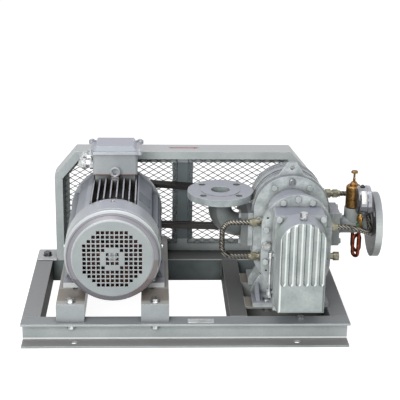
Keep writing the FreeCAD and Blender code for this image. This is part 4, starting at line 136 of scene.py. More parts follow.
def flake_enamel(name, colour, shadow, top_painted_light, grain_mm, grain_depth, roughness, shade_and_soil=0.55,
                 shade_and_soil_reach=18, shade_and_soil_colour="#45413B", specks_share=0.1, cloud_mm=80, metallic=0.06,
                 gloss=0.28, rim="#E4E8E7", rim_share=0.75):
    """Sprayed enamel; the grain, its depth and the reach of painted shade and grime are in millimetres."""
    material, tree, shader = new_finish(
        name, Metallic=metallic, Roughness=roughness, Specular_IOR_Level=gloss)
    where = {"Vector": (node(tree, "ShaderNodeTexCoord"), "Object")}
    clouds = node(tree, "ShaderNodeTexNoise", {"Scale": per_mm(cloud_mm), "Detail": 5.0}, where)
    specks = node(tree, "ShaderNodeTexNoise", {"Scale": per_mm(SPECK_MM), "Detail": 3.0}, where)
    grain = node(tree, "ShaderNodeTexNoise", {"Scale": per_mm(grain_mm), "Detail": 3.0}, where)
    # The paint's own tone drifts, and faces that look up get painted light, a tone of their own.
    tone = node(tree, "ShaderNodeMapRange", {"From Min": 0.35, "From Max": 0.65}, {"Value": (clouds, "Fac")})
    cloudy = node(tree, "ShaderNodeMix", {FIRST: linear(shadow), SECOND: linear(colour)},
                  {0: (tone, "Result")}, **COLOURS)
    facing = node(tree, "ShaderNodeNewGeometry")
    split = node(tree, "ShaderNodeSeparateXYZ", None, {"Vector": (facing, "Normal")})
    upward = node(tree, "ShaderNodeMapRange", {"From Min": 0.35, "From Max": 0.95}, {"Value": (split, "Z")})
    with_top_painted_light = node(tree, "ShaderNodeMix", {SECOND: linear(top_painted_light)},
                     {0: (upward, "Result"), FIRST: (cloudy, MIXED)}, **COLOURS)
    speck = node(tree, "ShaderNodeMapRange", {"From Min": 0.45, "From Max": 0.7, "To Max": specks_share},
                 {"Value": (specks, "Fac")})
    mottled = node(tree, "ShaderNodeMix", {SECOND: linear(SPECK_COLOUR)},
                   {0: (speck, "Result"), FIRST: (with_top_painted_light, MIXED)}, **COLOURS)
    # Painted shade with grime darkens corners; a painted highlight lightens rounded edges in open air.
    hollow = node(tree, "ShaderNodeAmbientOcclusion", {"Distance": shade_and_soil_reach * MM}, samples=6)
    shade_and_soil_mask = node(tree, "ShaderNodeMapRange",
                {"From Min": 0.25, "From Max": 0.85, "To Min": shade_and_soil, "To Max": 0.0},
                {"Value": (hollow, "AO")})
    shaded_and_soiled = node(tree, "ShaderNodeMix", {SECOND: linear(shade_and_soil_colour)},
                 {0: (shade_and_soil_mask, "Result"), FIRST: (mottled, MIXED)}, **COLOURS)
    soft_edge = node(tree, "ShaderNodeBevel", {"Radius": PAINTED_EDGE}, samples=4)
    # A painted highlight on the rounded edges, where the bevel's normal turns away from the face's.
    turn = node(tree, "ShaderNodeVectorMath", None, {0: (soft_edge, "Normal"), 1: (facing, "Normal")},
                operation="DOT_PRODUCT")
    rounding = node(tree, "ShaderNodeMapRange",
                    {"From Min": 0.985, "From Max": 0.85, "To Min": 0.0, "To Max": rim_share},
                    {"Value": (turn, "Value")})
    open_air = node(tree, "ShaderNodeMapRange", {"From Min": 0.45, "From Max": 0.8},
                    {"Value": (hollow, "AO")})
    painted_edge_highlight = node(tree, "ShaderNodeMath", None, {0: (rounding, "Result"), 1: (open_air, "Result")},
                  operation="MULTIPLY")
    edged = node(tree, "ShaderNodeMix", {SECOND: linear(rim)},
                 {0: (painted_edge_highlight, "Value"), FIRST: (shaded_and_soiled, MIXED)}, **COLOURS)
    tree.links.new(edged.outputs[MIXED], shader.inputs["Base Color"])
    bump = node(tree, "ShaderNodeBump", {"Strength": 0.5, "Distance": grain_depth * MM},
                {"Height": (grain, "Fac"), "Normal": (soft_edge, "Normal")})
    tree.links.new(bump.outputs["Normal"], shader.inputs["Normal"])
    return material


print("the enamel's specks are about", SPECK_MM, "mm wide")

# %% [markdown]
# The same recipe then gets the values of each ground. Sand-cast iron has a grain of about 1.6 mm that the
# paint doesn't fill. Cast aluminium is finer, and folded sheet only ripples slightly. The first colour is
# the clean paint, the second its darker patches, and the third the painted light of faces that look up.

# %% Enamel on castings and sheet
enamel_on_casting = flake_enamel(
    "flake_enamel_on_cast_iron", "#C0C6C6", "#989F9F", "#8A8D98", grain_mm=1.6, grain_depth=0.25,
    roughness=0.33, shade_and_soil=0.8, shade_and_soil_reach=20, shade_and_soil_colour="#34322D", specks_share=0.25, cloud_mm=26)
enamel_on_screws = flake_enamel(
    "flake_enamel_on_screws", "#BCC2C2", "#A0A7A7", "#B4B7BE", grain_mm=1.6, grain_depth=0.10,
    roughness=0.34)
enamel_on_oil_box = flake_enamel(
    "flake_enamel_on_fluted_cover", "#AEB6B4", "#98A19F", "#8E929C", grain_mm=1.6, grain_depth=0.25,
    roughness=0.32, shade_and_soil=0.85, shade_and_soil_reach=12, shade_and_soil_colour="#4A4B47", specks_share=0.2, cloud_mm=40)
enamel_on_motor = flake_enamel(
    "flake_enamel_on_cast_aluminium", "#A6AAAC", "#969B9E", "#999AA6", grain_mm=1.2, grain_depth=0.12,
    roughness=0.34, shade_and_soil=0.8, shade_and_soil_reach=14, shade_and_soil_colour="#3E3B3A", specks_share=0.08)
enamel_on_fins = flake_enamel(
    "flake_enamel_on_cooling_fins", "#A8ACAF", "#83888B", "#A1A2AD", grain_mm=1.2, grain_depth=0.12,
    roughness=0.40, shade_and_soil=1.0, shade_and_soil_reach=50, shade_and_soil_colour="#2A251F")
enamel_on_lid = flake_enamel(
    "flake_enamel_on_box_lid", "#BCC0C4", "#ABAFB4", "#9B9CA9", grain_mm=1.2, grain_depth=0.12,
    roughness=0.30, shade_and_soil=0.8, shade_and_soil_reach=12, shade_and_soil_colour="#3E3B3A", specks_share=0.08)
enamel_on_sheet = flake_enamel(
    "flake_enamel_on_folded_sheet", "#B2B8B7", "#A2A9A9", "#AEB0B3", grain_mm=4.0, grain_depth=0.08,
    roughness=0.34, shade_and_soil=0.8, shade_and_soil_reach=24, shade_and_soil_colour="#3C403F")
enamel_on_strut = flake_enamel(
    "flake_enamel_on_guard_strut", "#6C7678", "#5D6668", "#7A8082", grain_mm=4.0, grain_depth=0.08,
    roughness=0.36, shade_and_soil=0.8, shade_and_soil_reach=20, shade_and_soil_colour="#2C302F")
print("enamels on castings and sheet made")

# %% [markdown]
# Rolled channel is not as clean: its mill scale shows through one thin coat. Their faces that look up
# get painted light of their own tone, as on the rest. The rear rail and the cross member stand in the
# shade of the motor and the blower, so their enamel is painted darker, as painted shade, and the
# supports under the blower are darker and browner too. Each channel gets the same recipe with its own
# tones, read from the photograph, and the darker ones hardly shine.

# %% Enamel on the skid's channels
enamel_on_front_rail = flake_enamel(
    "thin_enamel_on_front_rail", "#B3B9B9", "#A4ABAB", "#84878A", grain_mm=3.0, grain_depth=0.12,
    roughness=0.34, shade_and_soil=0.6, shade_and_soil_reach=14)
enamel_on_end_members = flake_enamel(
    "thin_enamel_on_end_members", "#7E8182", "#6E7172", "#8F9092", grain_mm=3.0, grain_depth=0.12,
    roughness=0.6, shade_and_soil=0.7, shade_and_soil_reach=20, metallic=0.0, gloss=0.08)
# The rear rail and the cross member stand in shade: their enamel is painted darker, as painted shade.
enamel_on_inner_members = flake_enamel(
    "thin_enamel_painted_in_shade", "#687070", "#565D5D", "#5C5D5C", grain_mm=3.0, grain_depth=0.12,
    roughness=0.6, shade_and_soil=0.8, shade_and_soil_reach=30, shade_and_soil_colour="#26241F", metallic=0.0, gloss=0.08)
enamel_on_supports = flake_enamel(
    "thin_enamel_on_supports", "#8B8D8B", "#74756F", "#7F7972", grain_mm=3.0, grain_depth=0.12,
    roughness=0.5, shade_and_soil=0.8, shade_and_soil_reach=20, shade_and_soil_colour="#3A352D", metallic=0.0, gloss=0.15)
enamel_on_motor_rails = flake_enamel(
    "thin_enamel_on_motor_rails", "#A3A9AB", "#949A9C", "#A09F9D", grain_mm=3.0, grain_depth=0.12,
    roughness=0.36, shade_and_soil=0.85, shade_and_soil_reach=26, shade_and_soil_colour="#4C453C")
print("channel enamels made")

# %% [markdown]
# Some places wear a second tone that follows the piece and not its corners, and most of these are
# painted light: painted shade inside the fan's cowl, or on the back of a flange. A zone picks such a
# place by its position or by the way it faces, and an overlay lays the second tone there.

# %% Zones and overlays
def zone(material, axis, low, high, of="place"):
    """1 where a position in millimetres, or a facing, lies between low and high.

    A facing is how far a face's normal points along the axis, from -1 to 1; 1.1 leaves that end open.
    """
    tree = material.node_tree
    if of == "place":
        source = (node(tree, "ShaderNodeTexCoord"), "Object")
        low, high = low * MM, high * MM
    else:
        source = (node(tree, "ShaderNodeNewGeometry"), "Normal")
    split = node(tree, "ShaderNodeSeparateXYZ", None, {"Vector": source})
    return node(tree, "ShaderNodeMath", {1: (low + high) / 2, 2: (high - low) / 2}, {0: (split, axis)},
                operation="COMPARE")


def ring_zone(material, x, z, low, high):
    """1 between two radii, in millimetres, about a line that runs front to back."""
    tree = material.node_tree
    place = node(tree, "ShaderNodeTexCoord")
    flat = node(tree, "ShaderNodeVectorMath", {1: (1, 0, 1)}, {0: (place, "Object")}, operation="MULTIPLY")
    reach = node(tree, "ShaderNodeVectorMath", {1: (x * MM, 0, z * MM)}, {0: (flat, "Vector")},
                 operation="DISTANCE")
    return node(tree, "ShaderNodeMath", {1: (low + high) / 2 * MM, 2: (high - low) / 2 * MM},
                {0: (reach, "Value")}, operation="COMPARE")


def overlay(material, colour, share, *zones):
    """Lays a colour over a finish where all of the zones hold."""
    tree = material.node_tree
    base = tree.nodes["Principled BSDF"].inputs["Base Color"]
    below = base.links[0].from_socket
    mask = zones[0]
    for other in zones[1:]:
        mask = node(tree, "ShaderNodeMath", None, {0: (mask, "Value"), 1: (other, "Value")},
                    operation="MULTIPLY")
    mask = node(tree, "ShaderNodeMath", {1: share}, {0: (mask, "Value")}, operation="MULTIPLY")
    made = node(tree, "ShaderNodeMix", {SECOND: linear(colour)}, {0: (mask, "Value")}, **COLOURS)
    tree.links.new(below, made.inputs[FIRST])
    tree.links.new(made.outputs[MIXED], base)


def box_in_mm(name):
    """A node's lowest and highest corners at rest, in millimetres."""
    return [[value / MM for value in corner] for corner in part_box(name)]


print("zones ready")

# %% [markdown]
# The fan's cowl gets painted light: painted shade on its shoulder between two rings of painted
# highlight, painted shade on its lower faces, and a brown painted reflection low at the right. Behind
# its grille it is painted nearly black, as painted shade. The rings are measured from the fan's axis,
# and the depths from the grille's face.

# %% Tones of the fan cowl
(cowl_left, cowl_front, cowl_foot), (cowl_right, _, cowl_top) = box_in_mm("fan_cowl")
axis_x, axis_z = (cowl_left + cowl_right) / 2, (cowl_foot + cowl_top) / 2
cowl_reach = (cowl_right - cowl_left) / 2
# Painted shade: inside, on its faces that look back and behind its grille, the cowl is painted nearly black.
INSIDE_PAINTED_SHADE = "#171512"
enamel_on_cowl = flake_enamel(
    "flake_enamel_on_fan_cowl", "#9FA5A5", "#959B9C", "#9C9EA8", grain_mm=4.0, grain_depth=0.06,
    roughness=0.28, shade_and_soil=0.6, shade_and_soil_reach=14, shade_and_soil_colour="#3E3B3A", specks_share=0.06)
# Painted shade on the shoulder, between two rings of painted highlight.
for colour, share, low_radius, high_radius, shallow, deep in (
        ("#85838A", 0.8, 99, 112.5, 2, 40),
        ("#DDE4E1", 0.45, 112.5, 116.8, 2, 30),
        ("#DDE2E0", 0.35, 96.5, 99, 0.4, 40)):
    overlay(enamel_on_cowl, colour, share,
            ring_zone(enamel_on_cowl, axis_x, axis_z, low_radius, high_radius),
            zone(enamel_on_cowl, "Y", cowl_front + shallow, cowl_front + deep))
# Painted shade on the lower faces and low on the shoulder, and a brown painted reflection at the right.
overlay(enamel_on_cowl, "#6A686C", 0.6, zone(enamel_on_cowl, "Z", -1.1, -0.35, "facing"),
        zone(enamel_on_cowl, "Y", cowl_front + 3, 0))
overlay(enamel_on_cowl, "#55535A", 0.55, ring_zone(enamel_on_cowl, axis_x, axis_z, 99, 112.5),
        zone(enamel_on_cowl, "Z", axis_z - 125, axis_z - 55),
        zone(enamel_on_cowl, "Y", cowl_front + 2, cowl_front + 40))
overlay(enamel_on_cowl, "#6E5B50", 0.5, ring_zone(enamel_on_cowl, axis_x, axis_z, 100, 110.5),
        zone(enamel_on_cowl, "X", axis_x + 45, axis_x + 120),
        zone(enamel_on_cowl, "Z", axis_z - 105, axis_z - 5))
overlay(enamel_on_cowl, INSIDE_PAINTED_SHADE, 0.97, ring_zone(enamel_on_cowl, axis_x, axis_z, 0, cowl_reach - 1.2),
        zone(enamel_on_cowl, "Y", cowl_front + 34, cowl_front + 110))
overlay(enamel_on_cowl, INSIDE_PAINTED_SHADE, 0.97, zone(enamel_on_cowl, "Y", 0.12, 1.1, "facing"))
overlay(enamel_on_cowl, INSIDE_PAINTED_SHADE, 0.9, ring_zone(enamel_on_cowl, axis_x, axis_z, 0, 88),
        zone(enamel_on_cowl, "Y", cowl_front + 0.5, cowl_front + 6))
# The shield behind the fan is painted dark, as painted shade.
shield_in_painted_shade = flake_enamel(
    "enamel_painted_dark_behind_the_fan", "#4A4642", "#3A3733", "#46423D", grain_mm=1.2, grain_depth=0.12,
    roughness=0.55, shade_and_soil=0.9, shade_and_soil_reach=30, shade_and_soil_colour="#15120F")
print("cowl's axis at", axis_x, axis_z, "and its reach", cowl_reach)

# %% [markdown]
# On the rest of the motor a reddish brown line shows where the terminal box sits. The front bevel of its
# lid is painted a shade darker, as painted shade, and the finned sides get a bluish grey painted shade.
# Low on the frame, the faces that look forward get a painted highlight.

# %% Tones of the motor
terminal_seat = box_in_mm("terminal_box")[0][2]
overlay(enamel_on_motor, "#6E4A42", 0.8, zone(enamel_on_motor, "Z", terminal_seat - 1, terminal_seat + 3),
        zone(enamel_on_motor, "Y", -1.1, -0.7, "facing"))
# Painted shade on the front bevel of the lid.
overlay(enamel_on_lid, "#959CA3", 0.8, zone(enamel_on_lid, "Y", -0.95, -0.25, "facing"))
# Bluish grey painted shade on the finned sides.
for colour, share, low, high in (("#59616B", 0.6, 62, 130), ("#6C7078", 0.45, -130, -72)):
    overlay(enamel_on_fins, colour, share, zone(enamel_on_fins, "X", axis_x + low, axis_x + high),
            zone(enamel_on_fins, "Z", 130, 330))
# A painted highlight on the frame's low faces that look forward.
overlay(enamel_on_fins, "#D9DDDC", 0.8, zone(enamel_on_fins, "Y", -1.1, -0.8, "facing"),
        zone(enamel_on_fins, "Z", 90, 122))
print("terminal box seated at", terminal_seat)

# %% [markdown]
# The discharge flange gets a painted highlight on its rim and painted shade on its back. The rim's painted
# light fades towards its top and bottom, which several weak overlays of painted shade lay on each other in
# steps. The flange's face keeps the plain paint. The elbow gets painted shade below its flange, most on
# its side that looks left.

# %% Tones of the pipes
enamel_on_discharge = flake_enamel(
    "flake_enamel_on_discharge_pipe", "#AEB4B2", "#8F9695", "#999CA6", grain_mm=1.6, grain_depth=0.25,
    roughness=0.38, shade_and_soil=0.8, shade_and_soil_reach=24, shade_and_soil_colour="#2B2925", specks_share=0.25)
(_, _, flange_foot), (flange_face, _, _) = box_in_mm("discharge_pipe")
FLANGE_TOP = flange_foot + 166
off_the_face = zone(enamel_on_discharge, "X", -1.1, 0.7, "facing")
flange = zone(enamel_on_discharge, "X", flange_face - 24, flange_face)
# A painted highlight on the flange's rim, and painted shade on its back and towards its top and bottom.
overlay(enamel_on_discharge, "#D6DCDA", 0.5, flange, off_the_face)
overlay(enamel_on_discharge, "#444644", 1.0,
        zone(enamel_on_discharge, "X", flange_face - 24, flange_face - 8),
        zone(enamel_on_discharge, "X", -1.1, -0.7, "facing"))
for reach in (28, 36, 44, 52, 60):
    overlay(enamel_on_discharge, "#3F4041", 0.17, flange, off_the_face,
            zone(enamel_on_discharge, "Z", flange_foot - 1, flange_foot + reach))
    overlay(enamel_on_discharge, "#6F7078", 0.14, flange, off_the_face,
            zone(enamel_on_discharge, "Z", FLANGE_TOP - reach, FLANGE_TOP))
enamel_on_elbow = flake_enamel(
    "flake_enamel_on_inlet_elbow", "#AAB1B1", "#858D8E", "#9396A0", grain_mm=1.6, grain_depth=0.25,
    roughness=0.34, shade_and_soil=0.9, shade_and_soil_reach=40, shade_and_soil_colour="#22211E", specks_share=0.25, cloud_mm=40)
elbow_top = box_in_mm("inlet_elbow")[1][2]
# Painted shade on the elbow below its flange.
overlay(enamel_on_elbow, "#2F312F", 0.5, zone(enamel_on_elbow, "X", -1.1, -0.35, "facing"),
        zone(enamel_on_elbow, "Z", elbow_top - 200, elbow_top - 26))
overlay(enamel_on_elbow, "#484A47", 0.55, zone(enamel_on_elbow, "Z", elbow_top - 200, elbow_top - 20))
print("flange's face at", flange_face, "and elbow's top at", elbow_top)

# %% [markdown]
# The flutes of the oil box read as stripes of painted light: the side of each that looks left gets a
# painted highlight, the side that looks right painted shade, and the tips at the bottom a painted glint.
# The casting's normals choose the side, and the zone keeps the stripes on the front of the cover.

# %% Tones of the flutes
(box_left, box_face, box_foot), (box_right, _, _) = box_in_mm("fluted_cover")
between_sides = zone(enamel_on_oil_box, "X", box_left + 7, box_right - 7)
front_only = zone(enamel_on_oil_box, "Y", box_face - 1, box_face + 5)
# Painted shade and painted highlights on the sides and tips of the flutes.
overlay(enamel_on_oil_box, "#62686A", 0.75, between_sides, front_only,
        zone(enamel_on_oil_box, "X", 0.2, 1.1, "facing"))
overlay(enamel_on_oil_box, "#F0F4F2", 0.75, between_sides, front_only,
        zone(enamel_on_oil_box, "X", -1.1, -0.2, "facing"))
overlay(enamel_on_oil_box, "#F4F7F6", 0.85, between_sides, front_only,
        zone(enamel_on_oil_box, "Z", 0.15, 1.1, "facing"),
        zone(enamel_on_oil_box, "Z", box_foot + 50, box_foot + 82))
print("flutes from", box_left, "to", box_right)

# %% [markdown]
# Inside the channels, and on the inner members under their top flanges, the colour is painted dark, as
# painted shade, and dust lies on their lower flanges. The front rail has a painted highlight where its
# fillet meets the lower flange, and the inner members one along the top of their front faces. The motor's
# rails are brown on top at their front ends. The channels are 63 mm high and stand on the ground, so
# their heights are written as they are.

# %% Tones of the skid
# The first colour is painted shade inside the channels, the second is dust on their lower flanges.
CHANNEL_PAINTED_SHADE, FLANGE_DUST = "#2C2C2A", "#85827D"
BELOW_TOP_FLANGE = (-1, 57)
overlay(enamel_on_end_members, CHANNEL_PAINTED_SHADE, 0.85, zone(enamel_on_end_members, "X", 0.3, 1.1, "facing"),
        zone(enamel_on_end_members, "X", -399, -335))
overlay(enamel_on_end_members, CHANNEL_PAINTED_SHADE, 0.75, zone(enamel_on_end_members, "X", -395, -336),
        zone(enamel_on_end_members, "Z", *BELOW_TOP_FLANGE), zone(enamel_on_end_members, "Y", -160, 240))
overlay(enamel_on_inner_members, CHANNEL_PAINTED_SHADE, 0.85,
        zone(enamel_on_inner_members, "X", -1.1, -0.3, "facing"))
overlay(enamel_on_inner_members, CHANNEL_PAINTED_SHADE, 0.6, zone(enamel_on_inner_members, "Z", *BELOW_TOP_FLANGE),
        zone(enamel_on_inner_members, "Y", -200, 150))
# A painted highlight along the top of the inner members' front faces.
overlay(enamel_on_inner_members, "#B9BDBC", 0.7, zone(enamel_on_inner_members, "Z", 60.2, 64),
        zone(enamel_on_inner_members, "Y", -1.1, -0.3, "facing"))
for channel in (enamel_on_front_rail, enamel_on_end_members):
    overlay(channel, FLANGE_DUST, 0.6, zone(channel, "Z", -1, 9), zone(channel, "Z", 0.7, 1.1, "facing"))
# A painted highlight where the front rail's fillet meets its lower flange.
overlay(enamel_on_front_rail, "#F0F4F3", 0.8, zone(enamel_on_front_rail, "Z", 5.2, 9.5),
        zone(enamel_on_front_rail, "Y", -1.1, -0.25, "facing"))
overlay(enamel_on_motor_rails, "#7D7268", 0.75, zone(enamel_on_motor_rails, "Y", -206, -134),
        zone(enamel_on_motor_rails, "Z", 0.8, 1.1, "facing"))
print("skid toned")

# %% [markdown]
# Small fittings are not painted. Bolts are bright zinc plated, and the hose nuts were passivated, which
# leaves them a dull olive. Shafts, gears and pulleys are bare machined steel. The valve and its stem are
# turned brass, and the siphon is drawn copper tube that has reddened. Each gets fine turning or drawing
# marks in its bump, and patches of a duller tone where hands and weather have been.

# %% Bare and plated metals
def two_tones(tree, shader, factor, first, second, start, end):
    """Colours the shader by a factor: the first tone up to start, the second from end."""
    ramp = node(tree, "ShaderNodeValToRGB", None, {"Fac": factor})
    for element, tone, place in zip(ramp.color_ramp.elements, (first, second), (start, end)):
        element.position = place
        element.color = linear(tone)
    tree.links.new(ramp.outputs["Color"], shader.inputs["Base Color"])


def bare_metal(name, bright, dull, roughness, mark_mm, mark_depth, patch_mm=12):
    """Metal with tool marks and duller patches, both in millimetres."""
    material, tree, shader = new_finish(name, Metallic=1.0, Roughness=roughness)
    where = {"Vector": (node(tree, "ShaderNodeTexCoord"), "Object")}
    patches = node(tree, "ShaderNodeTexNoise",
                   {"Scale": per_mm(patch_mm), "Detail": 5.0, "Roughness": 0.6}, where)
    two_tones(tree, shader, (patches, "Fac"), dull, bright, 0.35, 0.62)
    marks = node(tree, "ShaderNodeTexNoise", {"Scale": per_mm(mark_mm), "Detail": 2.0}, where)
    uneven = node(tree, "ShaderNodeMapRange",
                  {"To Min": roughness - 0.08, "To Max": roughness + 0.12}, {"Value": (patches, "Fac")})
    tree.links.new(uneven.outputs["Result"], shader.inputs["Roughness"])
    soft_edge = node(tree, "ShaderNodeBevel", {"Radius": 0.5 * MM}, samples=4)
    bump = node(tree, "ShaderNodeBump", {"Strength": 0.4, "Distance": mark_depth * MM},
                {"Height": (marks, "Fac"), "Normal": (soft_edge, "Normal")})
    tree.links.new(bump.outputs["Normal"], shader.inputs["Normal"])
    return material


zinc_plate = bare_metal("bright_zinc_plate", "#D2D4D4", "#8F9192", 0.30, 0.8, 0.04, 8)
dull_zinc = bare_metal("dull_passivated_zinc", "#94917F", "#5E5B4E", 0.34, 0.8, 0.04, 14)
machined_steel = bare_metal("machined_steel", "#B4B6B8", "#8F9193", 0.30, 0.5, 0.03)
ground_steel = bare_metal("ground_bearing_steel", "#C6C8CA", "#A9ABAD", 0.18, 0.4, 0.01)
rotor_iron = bare_metal("laminated_core_iron", "#6E6E6C", "#4A4947", 0.55, 1.0, 0.08)
blackened_bolt = bare_metal("oil_blackened_bolt", "#6A6B6C", "#2A2A2A", 0.36, 0.8, 0.04, 6)
turned_brass = bare_metal("turned_brass", "#A07C4A", "#5E452C", 0.42, 0.6, 0.03, 5)
drawn_copper = bare_metal("drawn_copper_tube", "#8A4330", "#3E1B13", 0.32, 0.6, 0.03, 9)
winding_copper = bare_metal("enamelled_copper_wire", "#A85A34", "#6E3A22", 0.40, 1.2, 0.30, 3)
plain_aluminium = bare_metal("rolled_aluminium_plate", "#E2E4E4", "#C4C7C8", 0.50, 0.7, 0.02, 20)
plated_case = bare_metal("plated_steel_case", "#B6B7BF", "#85868B", 0.24, 0.6, 0.01, 60)
print("bare metals made")

# %% [markdown]
# Two of these need a second tone. The plate on the motor is painted slate blue, as painted shade. The
# gauge's case gets a dark painted reflection on its lower half, is darker beside its plate, and the nut
# under it is brass.

# %% Tones of the plates and the gauge
# Painted shade on the motor's plate.
overlay(plain_aluminium, "#4B5663", 0.8, zone(plain_aluminium, "Z", 120, 400))
# A dark painted reflection on the lower half of the gauge's case.
overlay(plated_case, "#2E2F31", 0.75, zone(plated_case, "Z", 294, 323))
overlay(plated_case, "#B8935A", 1.0, zone(plated_case, "Z", 262, 293))
for low, high in ((427, 430.2), (445, 446.8)):
    overlay(plated_case, "#2A2B2D", 0.8, zone(plated_case, "Z", 323, 352),
            zone(plated_case, "X", low, high))
print("plates and gauge toned")

# %% [markdown]
# The belts are rubber with a fabric back that has rubbed brown, and the seals are black nitrile. The
# motor's fan, which shows as warm spots behind the grille, is moulded in a reddish brown plastic; its
# main tone is painted nearly black, as painted shade in the cowl. Moulded and sprayed skins are alike to
# the eye: an even colour, a second one where it is worn, and a faint grain.

# %% Rubber, plastics and paints
def moulded(name, colour, worn, roughness, grain_mm, grain_depth, wear_mm=15):
    """A skin with no metal in it; its grain and its worn patches are in millimetres."""
    material, tree, shader = new_finish(name, Roughness=roughness)
    where = {"Vector": (node(tree, "ShaderNodeTexCoord"), "Object")}
    wear = node(tree, "ShaderNodeTexNoise", {"Scale": per_mm(wear_mm), "Detail": 4.0}, where)
    two_tones(tree, shader, (wear, "Fac"), colour, worn, 0.42, 0.75)
    grain = node(tree, "ShaderNodeTexNoise", {"Scale": per_mm(grain_mm), "Detail": 2.0}, where)
    soft_edge = node(tree, "ShaderNodeBevel", {"Radius": 0.6 * MM}, samples=4)
    bump = node(tree, "ShaderNodeBump", {"Strength": 0.4, "Distance": grain_depth * MM},
                {"Height": (grain, "Fac"), "Normal": (soft_edge, "Normal")})
    tree.links.new(bump.outputs["Normal"], shader.inputs["Normal"])
    return material


belt_rubber = moulded("fabric_backed_belt_rubber", "#0E0C0B", "#261D17", 0.66, 1.0, 0.10)
nitrile = moulded("nitrile_rubber", "#121212", "#242322", 0.55, 1.0, 0.05)
# The fan's main tone is painted nearly black, as painted shade in the cowl.
fan_plastic = moulded("moulded_polypropylene", "#24130E", "#6A3424", 0.48, 2.0, 0.05, 22)
dial_paint = moulded("white_dial_enamel", "#E9E9E6", "#DEDEDA", 0.45, 1.0, 0.01)
pointer_paint = moulded("black_pointer_paint", "#0E0E0E", "#1C1C1C", 0.45, 1.0, 0.01)
cock_enamel = moulded("green_cock_enamel", "#2F6446", "#4C7A58", 0.40, 1.2, 0.01, 6)
sight_glass = moulded("clouded_sight_glass", "#B9BDBA", "#8E8F86", 0.12, 6.0, 0.01, 8)
print("rubber, plastics and paints made")

# %% [markdown]
# The gauge's window is clear glass. It is nearly invisible, apart from smears that blur its highlight.

# %% Gauge glass
clear_glass, glass_tree, glass_shader = new_finish(
    "clear_gauge_glass", Base_Color=linear("#F2F6F6"), Roughness=0.03, Transmission_Weight=1.0, IOR=1.5)
smears = node(glass_tree, "ShaderNodeTexNoise", {"Scale": per_mm(9), "Detail": 2.0})
haze = node(glass_tree, "ShaderNodeMapRange", {"To Min": 0.02, "To Max": 0.10}, {"Value": (smears, "Fac")})
glass_tree.links.new(haze.outputs["Result"], glass_shader.inputs["Roughness"])
print("glass made")

# %% [markdown]
# The oil hoses wear a sleeve of braided steel wire. Two sets of bands cross at the wires' angle. The
# real strands are under half a millimetre, too fine to show here, so the bands are 2.2 mm apart.

# %% Braided sleeve
BAND_MM, WIRE_LEAN, WIRE_DEPTH = 2.2, 0.95, 0.5
WAVES_PER_TURN = 6.283
braid, braid_tree, braid_shader = new_finish("braided_steel_wire", Metallic=0.85, Roughness=0.42)
place = node(braid_tree, "ShaderNodeTexCoord")
bands = []
for lean in (WIRE_LEAN, -WIRE_LEAN):
    turned = node(braid_tree, "ShaderNodeMapping", {"Rotation": (lean, 0.5 * lean, lean)},
                  {"Vector": (place, "Object")})
    bands.append(node(braid_tree, "ShaderNodeTexWave",
                      {"Scale": per_mm(BAND_MM) / WAVES_PER_TURN, "Distortion": 0.6},
                      {"Vector": (turned, "Vector")}))
crossing = node(braid_tree, "ShaderNodeMath", None, {0: (bands[0], "Fac"), 1: (bands[1], "Fac")},
                operation="MULTIPLY")
two_tones(braid_tree, braid_shader, (crossing, "Value"), "#1E1C1A", "#A09C92", 0.0, 0.7)
bump = node(braid_tree, "ShaderNodeBump", {"Strength": 0.8, "Distance": WIRE_DEPTH * MM},
            {"Height": (crossing, "Value")})
braid_tree.links.new(bump.outputs["Normal"], braid_shader.inputs["Normal"])
print("braid's bands are", BAND_MM, "mm apart")

# %% [markdown]
# Each CAD piece now gets the finish that the real piece has. The table starts with the skid, goes on with
# the guard, the motor and the blower, and ends with what is small or hidden.

# %% Dress the CAD pieces
FINISHES = {
    enamel_on_front_rail: ["skid_front_rail"],
    enamel_on_end_members: ["skid_end_members"],
    enamel_on_inner_members: ["skid_rear_rail", "skid_cross_member"],
    enamel_on_supports: ["blower_supports"],
    enamel_on_motor_rails: ["motor_rails"],
    enamel_on_sheet: ["guard_frame"],
    enamel_on_strut: ["guard_strut"],
    enamel_on_cowl: ["fan_cowl"],
    enamel_on_fins: ["motor_frame"],
    shield_in_painted_shade: ["motor_fan_shield"],
    enamel_on_motor: ["motor_drive_shield", "terminal_box", "lifting_eye"],
    enamel_on_lid: ["terminal_box_lid"],
    enamel_on_casting: ["front_end_plate", "blower_casing", "rear_end_plate", "rear_bearing_cover",
                        "gear_case", "gear_case_cover"],
    enamel_on_oil_box: ["fluted_cover"],
    enamel_on_elbow: ["inlet_elbow"],
    enamel_on_discharge: ["discharge_pipe"],
    enamel_on_screws: ["blower_screws"],
    zinc_plate: ["skid_bolts", "motor_screws", "blower_plugs", "oil_glass_bezel", "cable_glands"],
    dull_zinc: ["hose_fittings"],
    machined_steel: ["motor_shaft", "motor_pulley", "blower_pulley", "drive_rotor", "driven_rotor",
                     "drive_gear", "driven_gear", "oil_slinger"],
    ground_steel: ["motor_bearings", "blower_bearings"],
    rotor_iron: ["stator_core", "rotor_core"],
    winding_copper: ["stator_windings"],
    turned_brass: ["relief_valve_body", "relief_valve_stem", "gauge_cock_lever"],
    cock_enamel: ["gauge_cock"],
    drawn_copper: ["gauge_siphon"],
    plain_aluminium: ["blank_plates"],
    belt_rubber: ["drive_belts"],
    nitrile: ["shaft_seals"],
    fan_plastic: ["cooling_fan"],
    plated_case: ["gauge_case"],
    dial_paint: ["gauge_dial"],
    pointer_paint: ["gauge_pointer"],
    clear_glass: ["gauge_lens"],
    sight_glass: ["oil_glass_lens"],
    braid: ["oil_hoses"],
}
for finish, names in FINISHES.items():
    for name in names:
        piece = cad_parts[name]
        piece.data.materials.clear()
        piece.data.materials.append(finish)
dressed = {name for names in FINISHES.values() for name in names}
print("not dressed:", sorted(set(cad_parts) - dressed))

